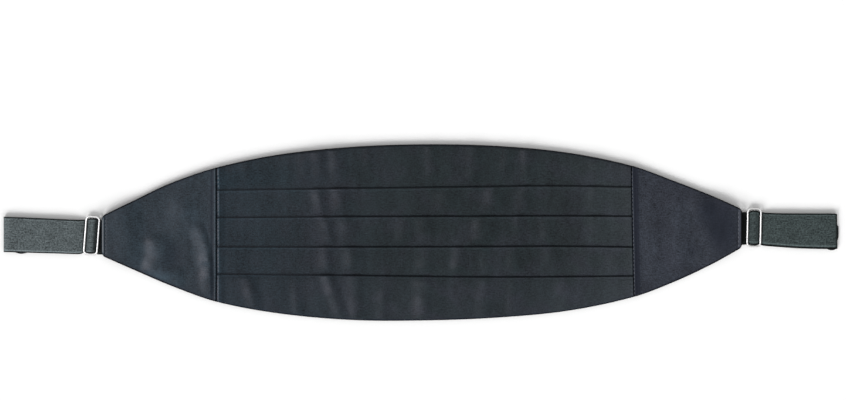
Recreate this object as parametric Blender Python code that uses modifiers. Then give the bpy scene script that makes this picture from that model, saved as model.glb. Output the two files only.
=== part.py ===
"""Cummerbund laid flat: a pleated satin front, two side panels, elastic straps and wire slide adjusters.

It lies on z = 0 with its length along X and its upper edge towards +Y.  Sizes are millimetres,
and MM turns them into metres.
"""

import math
from collections import namedtuple

import bmesh
import bpy
from mathutils import Vector

MM = 0.001

# Cloth
SATIN_WALL = 1.0            # one layer of the pleated front
PANEL_WALL = 2.0            # a side panel, its satin turned in all round
STRAP_WALL = 1.1            # woven elastic
GAP = 0.3                   # between layers
SEAM_GAP = 0.4              # between the front and a side panel
TABLE_GAP = 0.01            # keeps cloth that starts to slope above the table
PLEAT_DEPTH = 7.0           # how far a pleat's cloth runs back under its fold
HEM = 3.6                   # cloth turned under along the upper and lower edges
FOLD_CLEAR = 0.6            # where a band leaves the fold below it before it rises
FRONT_STATIONS = 16
TURN_STEPS = 4              # straight steps in half a turn of cloth
RISE_STEPS = 5

# Seams and tips, along X
SEAM_LEFT = -147.2
SEAM_RIGHT = 152.3
SEAM_RIGHT_LEAN = -0.02     # X per unit of Y: the right seam leans outwards at its lower end
TIP_LEFT = -229.7
TIP_RIGHT = 231.1
TIP_CORNER = 2.5            # rounding of a tip's two corners
TIP_REST = 10.5             # length of tip that lies on the strap's sewn end
TIP_SLOPE = 20.0            # length over which the panel comes down to the table
PANEL_STATIONS = 12
PANEL_COLUMNS = 8

# Slide adjusters
WIRE_RADIUS = 0.9
BAR_RADIUS = 0.6
LOOP_WIDTH = 9.45           # middle of wire to middle of wire, along X
LOOP_HEIGHT = 26.8
LOOP_CORNER = 1.7
CLASP_WIRE = 0.55           # radius of the hook's and the eye's wire
CLASP_WIDTH = 8.6
CLASP_HEIGHT = 21.0
CLASP_CORNER = 1.8
HOOK_RETURN = 4.6           # free end of the hook, turned back towards the strap
CORNER_STEPS = 4

# Straps, measured outwards from the panel's tip
SEWN_LENGTH = 9.0           # lies under the tip
STRAP_RISE = 6.5            # from under the adjuster's outer wire up onto the hidden run
HUMP_STEPS = 16
STRAP_COLUMNS = 4

# The body's outline from tip to tip
Edge = namedtuple("Edge", "x top bottom")
OUTLINE = (
    Edge(-229.7, 12.0, -16.6),
    Edge(-206.3, 23.4, -27.0),
    Edge(-180.4, 35.6, -38.1),
    Edge(-147.2, 46.9, -49.8),
    Edge(-102.6, 56.2, -58.2),
    Edge(-50.8, 61.7, -62.9),
    Edge(0.0, 63.6, -63.3),
    Edge(52.9, 62.6, -61.3),
    Edge(104.8, 57.9, -56.3),
    Edge(152.3, 48.3, -46.3),
    Edge(182.5, 37.3, -35.2),
    Edge(208.4, 27.1, -23.2),
    Edge(231.1, 16.9, -10.6),
)

# The folds of the four pleats; cloth runs back under each of them towards -Y
Folds = namedtuple("Folds", "x fold_1 fold_2 fold_3 fold_4")
FOLDS = (
    Folds(-147.2, 30.3, 10.5, -10.5, -30.1),
    Folds(-50.8, 31.5, 11.2, -10.7, -31.2),
    Folds(40.7, 32.6, 11.4, -10.5, -32.3),
    Folds(94.7, 33.3, 11.7, -10.2, -32.2),
    Folds(152.3, 32.4, 11.4, -10.8, -31.6),
)

# A strap: along is the distance outwards from the tip, centre and width are across it
Run = namedtuple("Run", "along centre width")
LEFT_RUN = (
    Run(-9.0, -2.7, 22.6),
    Run(2.0, -2.5, 23.2),
    Run(4.8, -2.6, 23.9),
    Run(7.6, -2.4, 24.2),
    Run(10.4, -2.2, 23.9),
    Run(14.0, -3.1, 24.0),
    Run(18.0, -3.4, 24.4),
    Run(33.0, -2.9, 24.6),
    Run(44.0, -2.5, 24.8),
    Run(55.0, -2.0, 25.0),
    Run(70.9, -1.5, 25.0),
)
LEFT_HIDDEN_RUN = (
    Run(30.8, -3.3, 24.6),
    Run(57.0, -2.4, 25.0),
    Run(62.0, -2.6, 25.4),
    Run(66.0, -2.1, 25.2),
    Run(70.9, -1.5, 25.0),
)
RIGHT_RUN = (
    Run(-9.0, 3.2, 22.4),
    Run(2.0, 3.2, 22.8),
    Run(5.8, 3.5, 23.9),
    Run(8.7, 3.4, 24.2),
    Run(11.6, 3.3, 23.9),
    Run(14.5, 2.8, 23.6),
    Run(18.0, 2.3, 23.5),
    Run(28.0, 1.7, 24.1),
    Run(40.0, 1.2, 24.8),
    Run(55.0, 1.0, 25.2),
    Run(69.3, 0.9, 25.2),
)
RIGHT_HIDDEN_RUN = (
    Run(30.8, 1.2, 24.6),
    Run(60.0, 1.0, 25.0),
    Run(65.0, 0.6, 25.6),
    Run(69.3, 0.9, 25.2),
)

# Where each adjuster sits and how it has turned
Slide = namedtuple("Slide", "x y turn_degrees")
SLIDE_LEFT = Slide(-237.3, -2.4, -4.4)
SLIDE_RIGHT = Slide(239.8, 3.4, -1.3)
FOLD_LEAN_LEFT = 0.0        # X per unit of Y along a strap's outer fold
FOLD_LEAN_RIGHT = -0.035

# Colour (linear), metallic, roughness
Finish = namedtuple("Finish", "colour metallic roughness")
SATIN = Finish((0.028, 0.036, 0.045), 0.0, 0.38)
ELASTIC = Finish((0.066, 0.084, 0.087), 0.0, 0.9)
STEEL = Finish((0.78, 0.78, 0.77), 1.0, 0.16)


def clear_scene():
    for item in list(bpy.data.objects):
        bpy.data.objects.remove(item, do_unlink=True)


def make_material(name, finish):
    material = bpy.data.materials.new(name)
    material.use_nodes = True
    shader = material.node_tree.nodes["Principled BSDF"]
    shader.inputs["Base Color"].default_value = (*finish.colour, 1.0)
    shader.inputs["Metallic"].default_value = finish.metallic
    shader.inputs["Roughness"].default_value = finish.roughness
    return material


def value_at(table, column, x):
    """Smooth curve through one column of a table whose first column rises."""
    keys = [row[0] for row in table]
    values = [getattr(row, column) for row in table]
    x = min(max(x, keys[0]), keys[-1])
    index = 0
    while index < len(keys) - 2 and x > keys[index + 1]:
        index += 1

    def slope(point):
        before = max(point - 1, 0)
        after = min(point + 1, len(keys) - 1)
        return (values[after] - values[before]) / (keys[after] - keys[before])

    span = keys[index + 1] - keys[index]
    t = (x - keys[index]) / span
    start = values[index] * (2 * t**3 - 3 * t**2 + 1) + slope(index) * span * (t**3 - 2 * t**2 + t)
    end = values[index + 1] * (3 * t**2 - 2 * t**3) + slope(index + 1) * span * (t**3 - t**2)
    return start + end


def ease(t):
    t = min(max(t, 0.0), 1.0)
    return t * t * (3 - 2 * t)


def spread(start, end, steps):
    return [start + (end - start) * step / steps for step in range(steps + 1)]


def new_object(name, mesh, material, collection):
    item = bpy.data.objects.new(name, mesh)
    item.data.materials.append(material)
    collection.objects.link(item)
    return item


def cloth_wall(name, rows, thickness, material, collection, edge_round=0.0):
    """A wall of cloth: a sheet through rows of points, thickened to both sides."""
    columns = len(rows[0])
    points = [Vector(point) * MM for row in rows for point in row]
    faces = []
    for row in range(len(rows) - 1):
        for column in range(columns - 1):
            corner = row * columns + column
            faces.append((corner, corner + columns, corner + columns + 1, corner + 1))
    mesh = bpy.data.meshes.new(name)
    mesh.from_pydata(points, [], faces)
    mesh.update()
    item = new_object(name, mesh, material, collection)
    wall = item.modifiers.new("Wall", "SOLIDIFY")
    wall.thickness = thickness * MM
    wall.offset = 0.0
    wall.use_even_offset = True
    if edge_round:
        rounding = item.modifiers.new("Edge", "BEVEL")
        rounding.width = edge_round * MM
        rounding.segments = 2
        rounding.limit_method = "ANGLE"
        rounding.angle_limit = math.radians(60)
    return item


def half_turn(across, height, radius, side, start):
    """Half a turn of cloth round (across, height), bulging to side; it starts at top (+1) or bottom (-1)."""
    points = []
    for step in range(1, TURN_STEPS):
        angle = start * math.pi * (0.5 - step / TURN_STEPS)
        points.append((across + side * radius * math.cos(angle), height + radius * math.sin(angle)))
    return points


def pleated_section(top, folds, bottom):
    """Middle of the cloth as (y, z), from the lower hem over every pleat to the upper hem."""
    pitch = SATIN_WALL + GAP
    low = SATIN_WALL / 2 + TABLE_GAP
    middle = low + pitch
    high = middle + pitch
    radius = pitch / 2
    inset = radius + SATIN_WALL / 2

    def rise(y_start, z_start, y_end, z_end):
        steps = spread(0.0, 1.0, RISE_STEPS)
        return [(y_start + (y_end - y_start) * t, z_start + (z_end - z_start) * ease(t)) for t in steps]

    section = [(bottom + HEM, low), (bottom + inset, low)]
    section += half_turn(bottom + inset, low + radius, radius, -1, -1)
    section.append((bottom + inset, middle))
    leave_y = bottom + HEM + GAP
    leave_z = middle
    for fold in folds:
        section += rise(leave_y, leave_z, fold - PLEAT_DEPTH - GAP, high)
        section.append((fold - inset, high))
        section += half_turn(fold - inset, high - radius, radius, 1, 1)
        section += [(fold - inset, middle), (fold - PLEAT_DEPTH + inset, middle)]
        section += half_turn(fold - PLEAT_DEPTH + inset, low + radius, radius, -1, 1)
        section.append((fold - PLEAT_DEPTH + inset, low))
        leave_y = fold + FOLD_CLEAR
        leave_z = low
    section += rise(leave_y, leave_z, top - HEM - GAP, middle)
    section.append((top - inset, middle))
    section += half_turn(top - inset, low + radius, radius, 1, 1)
    section += [(top - inset, low), (top - HEM, low)]
    return section


def front_panel(material, collection):
    start = SEAM_LEFT + SEAM_GAP / 2
    end = SEAM_RIGHT - SEAM_GAP / 2
    rows = []
    for x in spread(start, end, FRONT_STATIONS):
        lean = SEAM_RIGHT_LEAN * ease((x - start) / (end - start))
        folds = [value_at(FOLDS, column, x) for column in ("fold_4", "fold_3", "fold_2", "fold_1")]
        section = pleated_section(value_at(OUTLINE, "top", x), folds, value_at(OUTLINE, "bottom", x))
        rows.append([(x + lean * y, y, z) for y, z in section])
    return cloth_wall("front_panel", rows, SATIN_WALL, material, collection)


def side_panel(name, tip, seam, lean, material, collection):
    """A tapering end: flat on the table, its tip lifted onto the strap's sewn end."""
    outward = math.copysign(1.0, tip - seam)
    length = abs(tip - seam)
    lift = STRAP_WALL + GAP
    corner_steps = [TIP_CORNER * (1 - math.cos(math.radians(angle))) for angle in (0, 50)]
    distances = corner_steps + spread(TIP_CORNER, length, PANEL_STATIONS)
    rows = []
    for distance in distances:
        x = tip - outward * distance
        inset = 0.0
        if distance < TIP_CORNER:
            inset = TIP_CORNER - math.sqrt(TIP_CORNER**2 - (TIP_CORNER - distance) ** 2)
        z = PANEL_WALL / 2 + lift * (1 - ease((distance - TIP_REST) / TIP_SLOPE))
        top = value_at(OUTLINE, "top", x) - inset
        bottom = value_at(OUTLINE, "bottom", x) + inset
        row_lean = lean * distance / length
        rows.append([(x + row_lean * y, y, z) for y in spread(bottom, top, PANEL_COLUMNS)])
    if outward < 0:
        rows.reverse()
    return cloth_wall(name, rows, PANEL_WALL, material, collection, edge_round=0.7)


def strap_path(bar, reach, hidden_end):
    """Middle of a strap as (along, z), from its sewn end to the end of its hidden run."""
    floor = STRAP_WALL / 2 + TABLE_GAP
    upper = floor + STRAP_WALL + GAP
    wire_z = STRAP_WALL + GAP + WIRE_RADIUS
    hump = wire_z + BAR_RADIUS + GAP + STRAP_WALL / 2 - floor
    half = LOOP_WIDTH / 2
    radius = (STRAP_WALL + GAP) / 2
    path = [(-SEWN_LENGTH, floor), (0.0, floor)]
    for offset in spread(-half, half, HUMP_STEPS):
        path.append((bar + offset, floor + hump * (1 + math.cos(math.pi * offset / half)) / 2))
    for t in spread(0.0, 1.0, RISE_STEPS)[1:]:
        path.append((bar + half + STRAP_RISE * t, floor + (upper - floor) * ease(t)))
    turn = reach - radius - STRAP_WALL / 2
    visible_steps = spread(bar + half + STRAP_RISE, turn, 6)[1:]
    path += [(along, upper) for along in visible_steps]
    path += half_turn(turn, floor + radius, radius, 1, 1)
    path += [(along, floor) for along in spread(turn, hidden_end, 8)]
    return path


def strap(name, tip, outward, slide, run, hidden_run, fold_lean, material, collection):
    """Woven elastic: its wave through the adjuster leans with the adjuster, its far fold as given."""
    bar = abs(slide.x - tip)
    reach = run[-1].along
    slide_lean = -math.tan(math.radians(slide.turn_degrees)) * outward
    path = strap_path(bar, reach, hidden_run[0].along)
    outermost = max(range(len(path)), key=lambda index: path[index][0])
    rows = []
    for index, (along, z) in enumerate(path):
        table = run if index <= outermost else hidden_run
        centre = value_at(table, "centre", along)
        half_width = value_at(table, "width", along) / 2
        near_slide = 1 - ease((abs(along - bar) - LOOP_WIDTH / 2) / STRAP_RISE)
        near_fold = ease((along - reach + 20) / 20)
        row = []
        for y in spread(centre - half_width, centre + half_width, STRAP_COLUMNS):
            shift = slide_lean * near_slide * (y - slide.y) + fold_lean * outward * near_fold * (y - centre)
            row.append((tip + outward * (along + shift), y, z))
        rows.append(row)
    if outward < 0:
        rows.reverse()
    return cloth_wall(name, rows, STRAP_WALL, material, collection)


def rounded_corners(corners, radius):
    """Points of an open or closed run of straight lines whose right-angle corners are rounded."""
    points = []
    for before, corner, after in corners:
        towards = (before - corner).normalized()
        away = (after - corner).normalized()
        centre = corner + (towards + away) * radius
        for step in range(CORNER_STEPS + 1):
            angle = math.pi / 2 * step / CORNER_STEPS
            points.append(centre - away * radius * math.cos(angle) - towards * radius * math.sin(angle))
    return points


def wire_mesh(name, points, radius, closed):
    """A round wire through points, as a welded mesh."""
    curve = bpy.data.curves.new(name, "CURVE")
    curve.dimensions = "3D"
    curve.bevel_depth = radius * MM
    curve.bevel_resolution = 2
    curve.use_fill_caps = not closed
    spline = curve.splines.new("POLY")
    spline.points.add(len(points) - 1)
    for point, place in zip(spline.points, points):
        point.co = (*(place * MM), 1.0)
    spline.use_cyclic_u = closed
    holder = bpy.data.objects.new(name, curve)
    bpy.context.scene.collection.objects.link(holder)
    evaluated = holder.evaluated_get(bpy.context.evaluated_depsgraph_get())
    mesh = bpy.data.meshes.new_from_object(evaluated)
    bpy.data.objects.remove(holder, do_unlink=True)
    shape = bmesh.new()
    shape.from_mesh(mesh)
    bmesh.ops.remove_doubles(shape, verts=shape.verts, dist=0.00001)
    bmesh.ops.recalc_face_normals(shape, faces=shape.faces)
    shape.to_mesh(mesh)
    shape.free()
    return mesh


def loop_points(width, height, corner):
    x = width / 2
    y = height / 2
    turns = [Vector((-x, -y, 0)), Vector((x, -y, 0)), Vector((x, y, 0)), Vector((-x, y, 0))]
    corners = [(turns[index - 1], turns[index], turns[(index + 1) % 4]) for index in range(4)]
    return rounded_corners(corners, corner)


def place(item, x, y, z, turn_degrees):
    item.location = Vector((x, y, z)) * MM
    item.rotation_euler = (0, 0, math.radians(turn_degrees))


def slider(name, slide, material, collection, cutters):
    """A round-cornered wire loop with a thinner bar across its middle."""
    loop_shape = loop_points(LOOP_WIDTH, LOOP_HEIGHT, LOOP_CORNER)
    item = new_object(name, wire_mesh(name, loop_shape, WIRE_RADIUS, True), material, collection)
    half = Vector((0, LOOP_HEIGHT / 2, 0))
    bar_mesh = wire_mesh(name + "_bar", [-half, Vector((0, 0, 0)), half], BAR_RADIUS, False)
    bar = new_object(name + "_bar", bar_mesh, material, cutters)
    bar.hide_render = True
    bar.display_type = "WIRE"
    height = STRAP_WALL + GAP + WIRE_RADIUS
    place(item, slide.x, slide.y, height, slide.turn_degrees)
    place(bar, slide.x, slide.y, height, slide.turn_degrees)
    joined = item.modifiers.new("Bar", "BOOLEAN")
    joined.operation = "UNION"
    joined.solver = "EXACT"
    joined.object = bar
    return item


def hook(name, x, y, material, collection):
    """A wire hook in the plane of the table: a sewn bar, and a free end turned back towards it."""
    left = -CLASP_WIDTH / 2
    right = CLASP_WIDTH / 2
    low = -CLASP_HEIGHT / 2
    high = CLASP_HEIGHT / 2
    tail = Vector((right - HOOK_RETURN, low + HOOK_RETURN, 0))
    turns = [
        Vector((left, low, 0)),
        Vector((left, high, 0)),
        Vector((right, high, 0)),
        Vector((right, low + HOOK_RETURN, 0)),
        tail,
    ]
    corners = [(turns[index - 1], turns[index], turns[index + 1]) for index in (1, 2, 3)]
    points = [turns[0]] + rounded_corners(corners, CLASP_CORNER) + [tail]
    item = new_object(name, wire_mesh(name, points, CLASP_WIRE, False), material, collection)
    place(item, x, y, CLASP_WIRE, 0)
    return item


def eye(name, x, y, material, collection):
    """A closed wire loop in the plane of the table, for the hook."""
    points = loop_points(CLASP_WIDTH, CLASP_HEIGHT, CLASP_CORNER)
    item = new_object(name, wire_mesh(name, points, CLASP_WIRE, True), material, collection)
    place(item, x, y, CLASP_WIRE, 0)
    return item


def build():
    clear_scene()
    scene_collection = bpy.context.scene.collection
    garment = bpy.data.collections.new("cummerbund")
    cutters = bpy.data.collections.new("joining_shapes")
    scene_collection.children.link(garment)
    scene_collection.children.link(cutters)

    satin = make_material("satin", SATIN)
    elastic = make_material("elastic", ELASTIC)
    steel = make_material("steel_wire", STEEL)

    front_panel(satin, garment)
    side_panel("side_panel_left", TIP_LEFT, SEAM_LEFT - SEAM_GAP / 2, 0.0, satin, garment)
    side_panel("side_panel_right", TIP_RIGHT, SEAM_RIGHT + SEAM_GAP / 2, SEAM_RIGHT_LEAN, satin, garment)

    strap("strap_left", TIP_LEFT, -1, SLIDE_LEFT, LEFT_RUN, LEFT_HIDDEN_RUN, FOLD_LEAN_LEFT,
          elastic, garment)
    strap("strap_right", TIP_RIGHT, 1, SLIDE_RIGHT, RIGHT_RUN, RIGHT_HIDDEN_RUN, FOLD_LEAN_RIGHT,
          elastic, garment)
    slider("slider_left", SLIDE_LEFT, steel, garment, cutters)
    slider("slider_right", SLIDE_RIGHT, steel, garment, cutters)

    clasp_reach = CLASP_WIDTH / 2 + CLASP_WIRE + GAP
    hook_x = TIP_LEFT - LEFT_HIDDEN_RUN[0].along + clasp_reach
    eye_x = TIP_RIGHT + RIGHT_HIDDEN_RUN[0].along - clasp_reach
    hook("hook_left", hook_x, LEFT_HIDDEN_RUN[0].centre, steel, garment)
    eye("eye_right", eye_x, RIGHT_HIDDEN_RUN[0].centre, steel, garment)


build()
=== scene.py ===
# %% [markdown]
# # A pleated cummerbund, laid flat
#
# The real object is a waist sash for evening dress: a satin front laid into four pleats, a tapering
# satin panel at each side, and an elastic strap with a wire slide adjuster at each end.  It lies on a
# table and is seen from straight above.
#
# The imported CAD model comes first, because it fixes where every piece lies.  The script then makes a
# finer piece of cloth or wire for each CAD solid, in the same place.

import math
from collections import namedtuple

import bmesh
import bpy
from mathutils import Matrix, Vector, noise


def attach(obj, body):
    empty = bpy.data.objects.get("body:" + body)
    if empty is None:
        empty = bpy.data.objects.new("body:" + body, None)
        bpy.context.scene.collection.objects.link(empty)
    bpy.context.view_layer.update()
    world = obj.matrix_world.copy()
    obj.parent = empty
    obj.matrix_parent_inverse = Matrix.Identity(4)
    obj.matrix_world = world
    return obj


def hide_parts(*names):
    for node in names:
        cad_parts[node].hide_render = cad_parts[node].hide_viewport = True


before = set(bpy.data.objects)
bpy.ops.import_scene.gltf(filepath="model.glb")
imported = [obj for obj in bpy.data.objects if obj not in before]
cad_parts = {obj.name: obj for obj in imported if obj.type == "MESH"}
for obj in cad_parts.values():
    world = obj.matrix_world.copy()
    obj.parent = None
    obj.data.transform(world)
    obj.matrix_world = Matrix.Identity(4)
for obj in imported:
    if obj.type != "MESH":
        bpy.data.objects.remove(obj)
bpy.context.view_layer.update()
print("CAD nodes:", ", ".join(sorted(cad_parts)))

# %% [markdown]
# ## Measuring
#
# Cloth is measured in millimetres here, as a maker would, and `MM` turns that into Blender's metres.
# Edges and folds are smooth curves through a few measured places, so one small function that reads
# such a table does most of the pattern cutting.  Many things also run beside an edge and die away to
# both sides: a pressed ridge, a row of puckers, a rubbed line.  Each of these is a `Line`.  What is
# felt from an edge inwards and then dies away, such as the dark of a turned edge, is a `Fade`.

# %% Curves through measured places
MM = 0.001

Line = namedtuple("Line", "amount at width")
Fade = namedtuple("Fade", "amount start over")


def ease(t):
    """0 to 1 with a soft start and end."""
    t = min(max(t, 0.0), 1.0)
    return t * t * (3 - 2 * t)


def spread(start, end, steps):
    return [start + (end - start) * step / steps for step in range(steps + 1)]


def beside(line, distance, power=2):
    """How strongly a line is felt at this distance from the edge that it runs beside."""
    return line.amount * math.exp(-((distance - line.at) / line.width) ** power)


def faded(fade, distance):
    """How strongly a fade is felt: fully up to its start, then less and less over its length."""
    return fade.amount * (1 - ease((distance - fade.start) / fade.over))


def run_lengths(points):
    """How far along a line of flat points each of them is."""
    lengths = [0.0]
    for before, after in zip(points, points[1:]):
        lengths.append(lengths[-1] + math.hypot(after[0] - before[0], after[1] - before[1]))
    return lengths


def value_at(table, column, x):
    """Smooth curve through one column of a table whose first column rises."""
    keys = [row[0] for row in table]
    values = [getattr(row, column) for row in table]
    x = min(max(x, keys[0]), keys[-1])
    index = 0
    while index < len(keys) - 2 and x > keys[index + 1]:
        index += 1

    def slope(point):
        before = max(point - 1, 0)
        after = min(point + 1, len(keys) - 1)
        return (values[after] - values[before]) / (keys[after] - keys[before])

    span = keys[index + 1] - keys[index]
    t = (x - keys[index]) / span
    start = values[index] * (2 * t**3 - 3 * t**2 + 1) + slope(index) * span * (t**3 - 2 * t**2 + t)
    end = values[index + 1] * (3 * t**2 - 2 * t**3) + slope(index + 1) * span * (t**3 - t**2)
    return start + end


# %% [markdown]
# ## Camera
#
# The garment was photographed from straight above, so the camera looks down the Z axis.  A long lens
# from 1.7 m keeps edges from leaning.  The height follows from the lens and from how much of the
# table the picture covers, which is worked out rather than found by trial.

# %% The camera
PICTURE_WIDTH = 609.12      # of table, from side to side of the picture
PICTURE_MIDDLE = (1.45, 23.5)
CLOTH_TOP = 2.2             # the picture's scale is true at this height
LENS = 100.0
SENSOR = 36.0

camera_data = bpy.data.cameras.new("camera")
camera_data.lens = LENS
camera_data.sensor_width = SENSOR
camera = bpy.data.objects.new("camera", camera_data)
bpy.context.scene.collection.objects.link(camera)
camera_height = PICTURE_WIDTH * LENS / SENSOR + CLOTH_TOP
camera.location = (PICTURE_MIDDLE[0] * MM, PICTURE_MIDDLE[1] * MM, camera_height * MM)
bpy.context.scene.camera = camera
print("camera height:", round(camera_height), "mm")

# %% [markdown]
# ## Light and table
#
# The photograph has a soft shadow above the garment, a shorter one at its right end and none at its
# left or lower side.  So about half the light is even and comes from everywhere, and the rest comes
# from two large soft sources low on the lower side.  They light the cloth without being mirrored in
# it, because satin seen against a low lamp would glare like metal.  A smaller source high on the left
# does the opposite: it shows only as the sheen on the satin's creases.  A sun lamp with a wide angle
# is the simplest large soft source, because it is as bright at one end of a long object as at the
# other, and its ray visibility says which of the two jobs it does.

# %% Lights
TABLE_REFLECTS = 0.7
SKY = 0.70
KEY_ELEVATION = 25.5
KEY_ANGLE = 30.0
KEY_LEFT_STRENGTH = 3.78
KEY_LEFT_FROM = -33.0       # degrees from the lower side of the picture towards its left
KEY_RIGHT_STRENGTH = 1.86
KEY_RIGHT_FROM = 20.0
SHEEN_STRENGTH = 1.6
SHEEN_ELEVATION = 60.0
SHEEN_FROM = -92.0
SHEEN_ANGLE = 22.0
WHITE_LIGHT = (1.0, 1.0, 1.0)
COOL_LIGHT = (0.97, 0.95, 1.0)


def soft_sun(name, strength, elevation, turned, angle, colour):
    """A large soft source, seen from the table at this elevation; turned is about Z, from -Y."""
    lamp = bpy.data.lights.new(name, "SUN")
    lamp.energy = strength
    lamp.angle = math.radians(angle)
    lamp.color = colour
    holder = bpy.data.objects.new(name, lamp)
    bpy.context.scene.collection.objects.link(holder)
    holder.rotation_euler = (math.radians(90 - elevation), 0, math.radians(turned))
    return holder


key_left = soft_sun(
    "key_light_left", KEY_LEFT_STRENGTH, KEY_ELEVATION, KEY_LEFT_FROM, KEY_ANGLE, WHITE_LIGHT
)
key_right = soft_sun(
    "key_light_right", KEY_RIGHT_STRENGTH, KEY_ELEVATION, KEY_RIGHT_FROM, KEY_ANGLE, WHITE_LIGHT
)
sheen = soft_sun("sheen_light", SHEEN_STRENGTH, SHEEN_ELEVATION, SHEEN_FROM, SHEEN_ANGLE, COOL_LIGHT)
key_left.visible_glossy = False
key_right.visible_glossy = False
sheen.visible_diffuse = False

world = bpy.data.worlds.new("studio")
world.use_nodes = True
world.node_tree.nodes["Background"].inputs["Color"].default_value = (1.0, 1.0, 1.0, 1.0)
world.node_tree.nodes["Background"].inputs["Strength"].default_value = SKY
bpy.context.scene.world = world
bpy.context.scene.view_settings.view_transform = "Standard"
bpy.context.scene.view_settings.look = "None"
print("two soft lights from", KEY_ELEVATION, "degrees and a sheen from", SHEEN_ELEVATION)

# %% The table
TABLE_SIZE = 6.0

bpy.ops.object.select_all(action="DESELECT")
bpy.ops.mesh.primitive_plane_add(size=TABLE_SIZE, location=(0, 0, 0))
table_top = bpy.context.active_object
table_top.name = "table_top"
paper = bpy.data.materials.new("white_paper")
paper.use_nodes = True
paper_shader = paper.node_tree.nodes["Principled BSDF"]
paper_shader.inputs["Base Color"].default_value = (TABLE_REFLECTS, TABLE_REFLECTS, TABLE_REFLECTS, 1.0)
paper_shader.inputs["Roughness"].default_value = 0.9
paper_shader.inputs["Specular IOR Level"].default_value = 0.0
table_top.data.materials.append(paper)
print("table:", TABLE_SIZE, "m wide")

# %% [markdown]
# ## A way to write finishes
#
# A finish is a small network of shader nodes.  Written as sums it is easier to read, so `Number`
# wraps a socket and turns `+`, `-` and `*` into Math nodes, and `Finish.node` makes every other kind
# of node: its settings first, then the values or links of its sockets.
#
# Most of what cloth shows is noise that is stretched along its yarns.  A `Texture` says how many
# swellings there are to the metre, how fine and rough they are, and how much they change the tone.

# %% Shader sums
class Number:
    """One value in a finish; sums on it add Math nodes."""

    def __init__(self, finish, socket):
        self.finish = finish
        self.socket = socket

    def joined(self, operation, first, second):
        made = self.finish.node("ShaderNodeMath", {"operation": operation}, {0: first, 1: second})
        return Number(self.finish, made.outputs[0])

    def __add__(self, other):
        return self.joined("ADD", self, other)

    def __radd__(self, other):
        return self.joined("ADD", other, self)

    def __sub__(self, other):
        return self.joined("SUBTRACT", self, other)

    def __rsub__(self, other):
        return self.joined("SUBTRACT", other, self)

    def __mul__(self, other):
        return self.joined("MULTIPLY", self, other)

    def __rmul__(self, other):
        return self.joined("MULTIPLY", other, self)


# %% Finishes
Texture = namedtuple("Texture", "along across up detail roughness contrast")


class Finish:
    """A material and the nodes that are added to it."""

    def __init__(self, name):
        self.material = bpy.data.materials.new(name)
        self.material.use_nodes = True
        self.tree = self.material.node_tree
        self.shader = self.tree.nodes["Principled BSDF"]

    def node(self, kind, settings, values):
        made = self.tree.nodes.new(kind)
        for name, setting in settings.items():
            setattr(made, name, setting)
        for name, value in values.items():
            self.feed(made.inputs[name], value)
        return made

    def feed(self, socket, value):
        if isinstance(value, Number):
            value = value.socket
        if isinstance(value, bpy.types.NodeSocket):
            self.tree.links.new(value, socket)
        else:
            socket.default_value = value

    def sheet_place(self):
        """Where a point is on its own piece of cloth, in metres along and across."""
        return self.node("ShaderNodeUVMap", {"uv_map": "cloth"}, {}).outputs["UV"]

    def object_place(self):
        return self.node("ShaderNodeTexCoord", {}, {}).outputs["Object"]

    def textured(self, place, kind):
        """The noise of a texture, about 0.5 on average."""
        stretch = (kind.along, kind.across, kind.up)
        stretched = self.node("ShaderNodeMapping", {}, {"Vector": place, "Scale": stretch})
        values = {
            "Vector": stretched.outputs["Vector"],
            "Scale": 1.0,
            "Detail": kind.detail,
            "Roughness": kind.roughness,
        }
        return Number(self, self.node("ShaderNodeTexNoise", {}, values).outputs["Fac"])

    def toned(self, textures):
        """1 on average, and more or less by each texture's contrast."""
        tone = 1.0
        for texture, kind in textures:
            tone = tone + (texture - 0.5) * kind.contrast
        return tone

    def between(self, value, low, high):
        """0 where value is low, 1 where it is high."""
        values = {"Value": value, "From Min": low, "From Max": high}
        made = self.node("ShaderNodeMapRange", {"interpolation_type": "SMOOTHSTEP"}, values)
        return Number(self, made.outputs["Result"])

    def attribute(self, name):
        made = self.node("ShaderNodeAttribute", {"attribute_name": name}, {})
        return Number(self, made.outputs["Fac"])

    def mixed(self, amount, first, second):
        values = {"Factor": amount, 6: first, 7: second}
        return self.node("ShaderNodeMix", {"data_type": "RGBA"}, values).outputs[2]

    def dimmed(self, colour, amount):
        """A colour times a number."""
        made = self.node("ShaderNodeVectorMath", {"operation": "SCALE"}, {0: colour, "Scale": amount})
        return made.outputs["Vector"]

    def coloured(self, colour, roughness):
        self.feed(self.shader.inputs["Base Color"], colour)
        self.feed(self.shader.inputs["Roughness"], roughness)

    def bumped(self, height, distance):
        made = self.node("ShaderNodeBump", {}, {"Height": height, "Distance": distance})
        self.feed(self.shader.inputs["Normal"], made.outputs["Normal"])

    def plain(self, **values):
        for name, value in values.items():
            self.shader.inputs[name.replace("_", " ")].default_value = value
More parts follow.
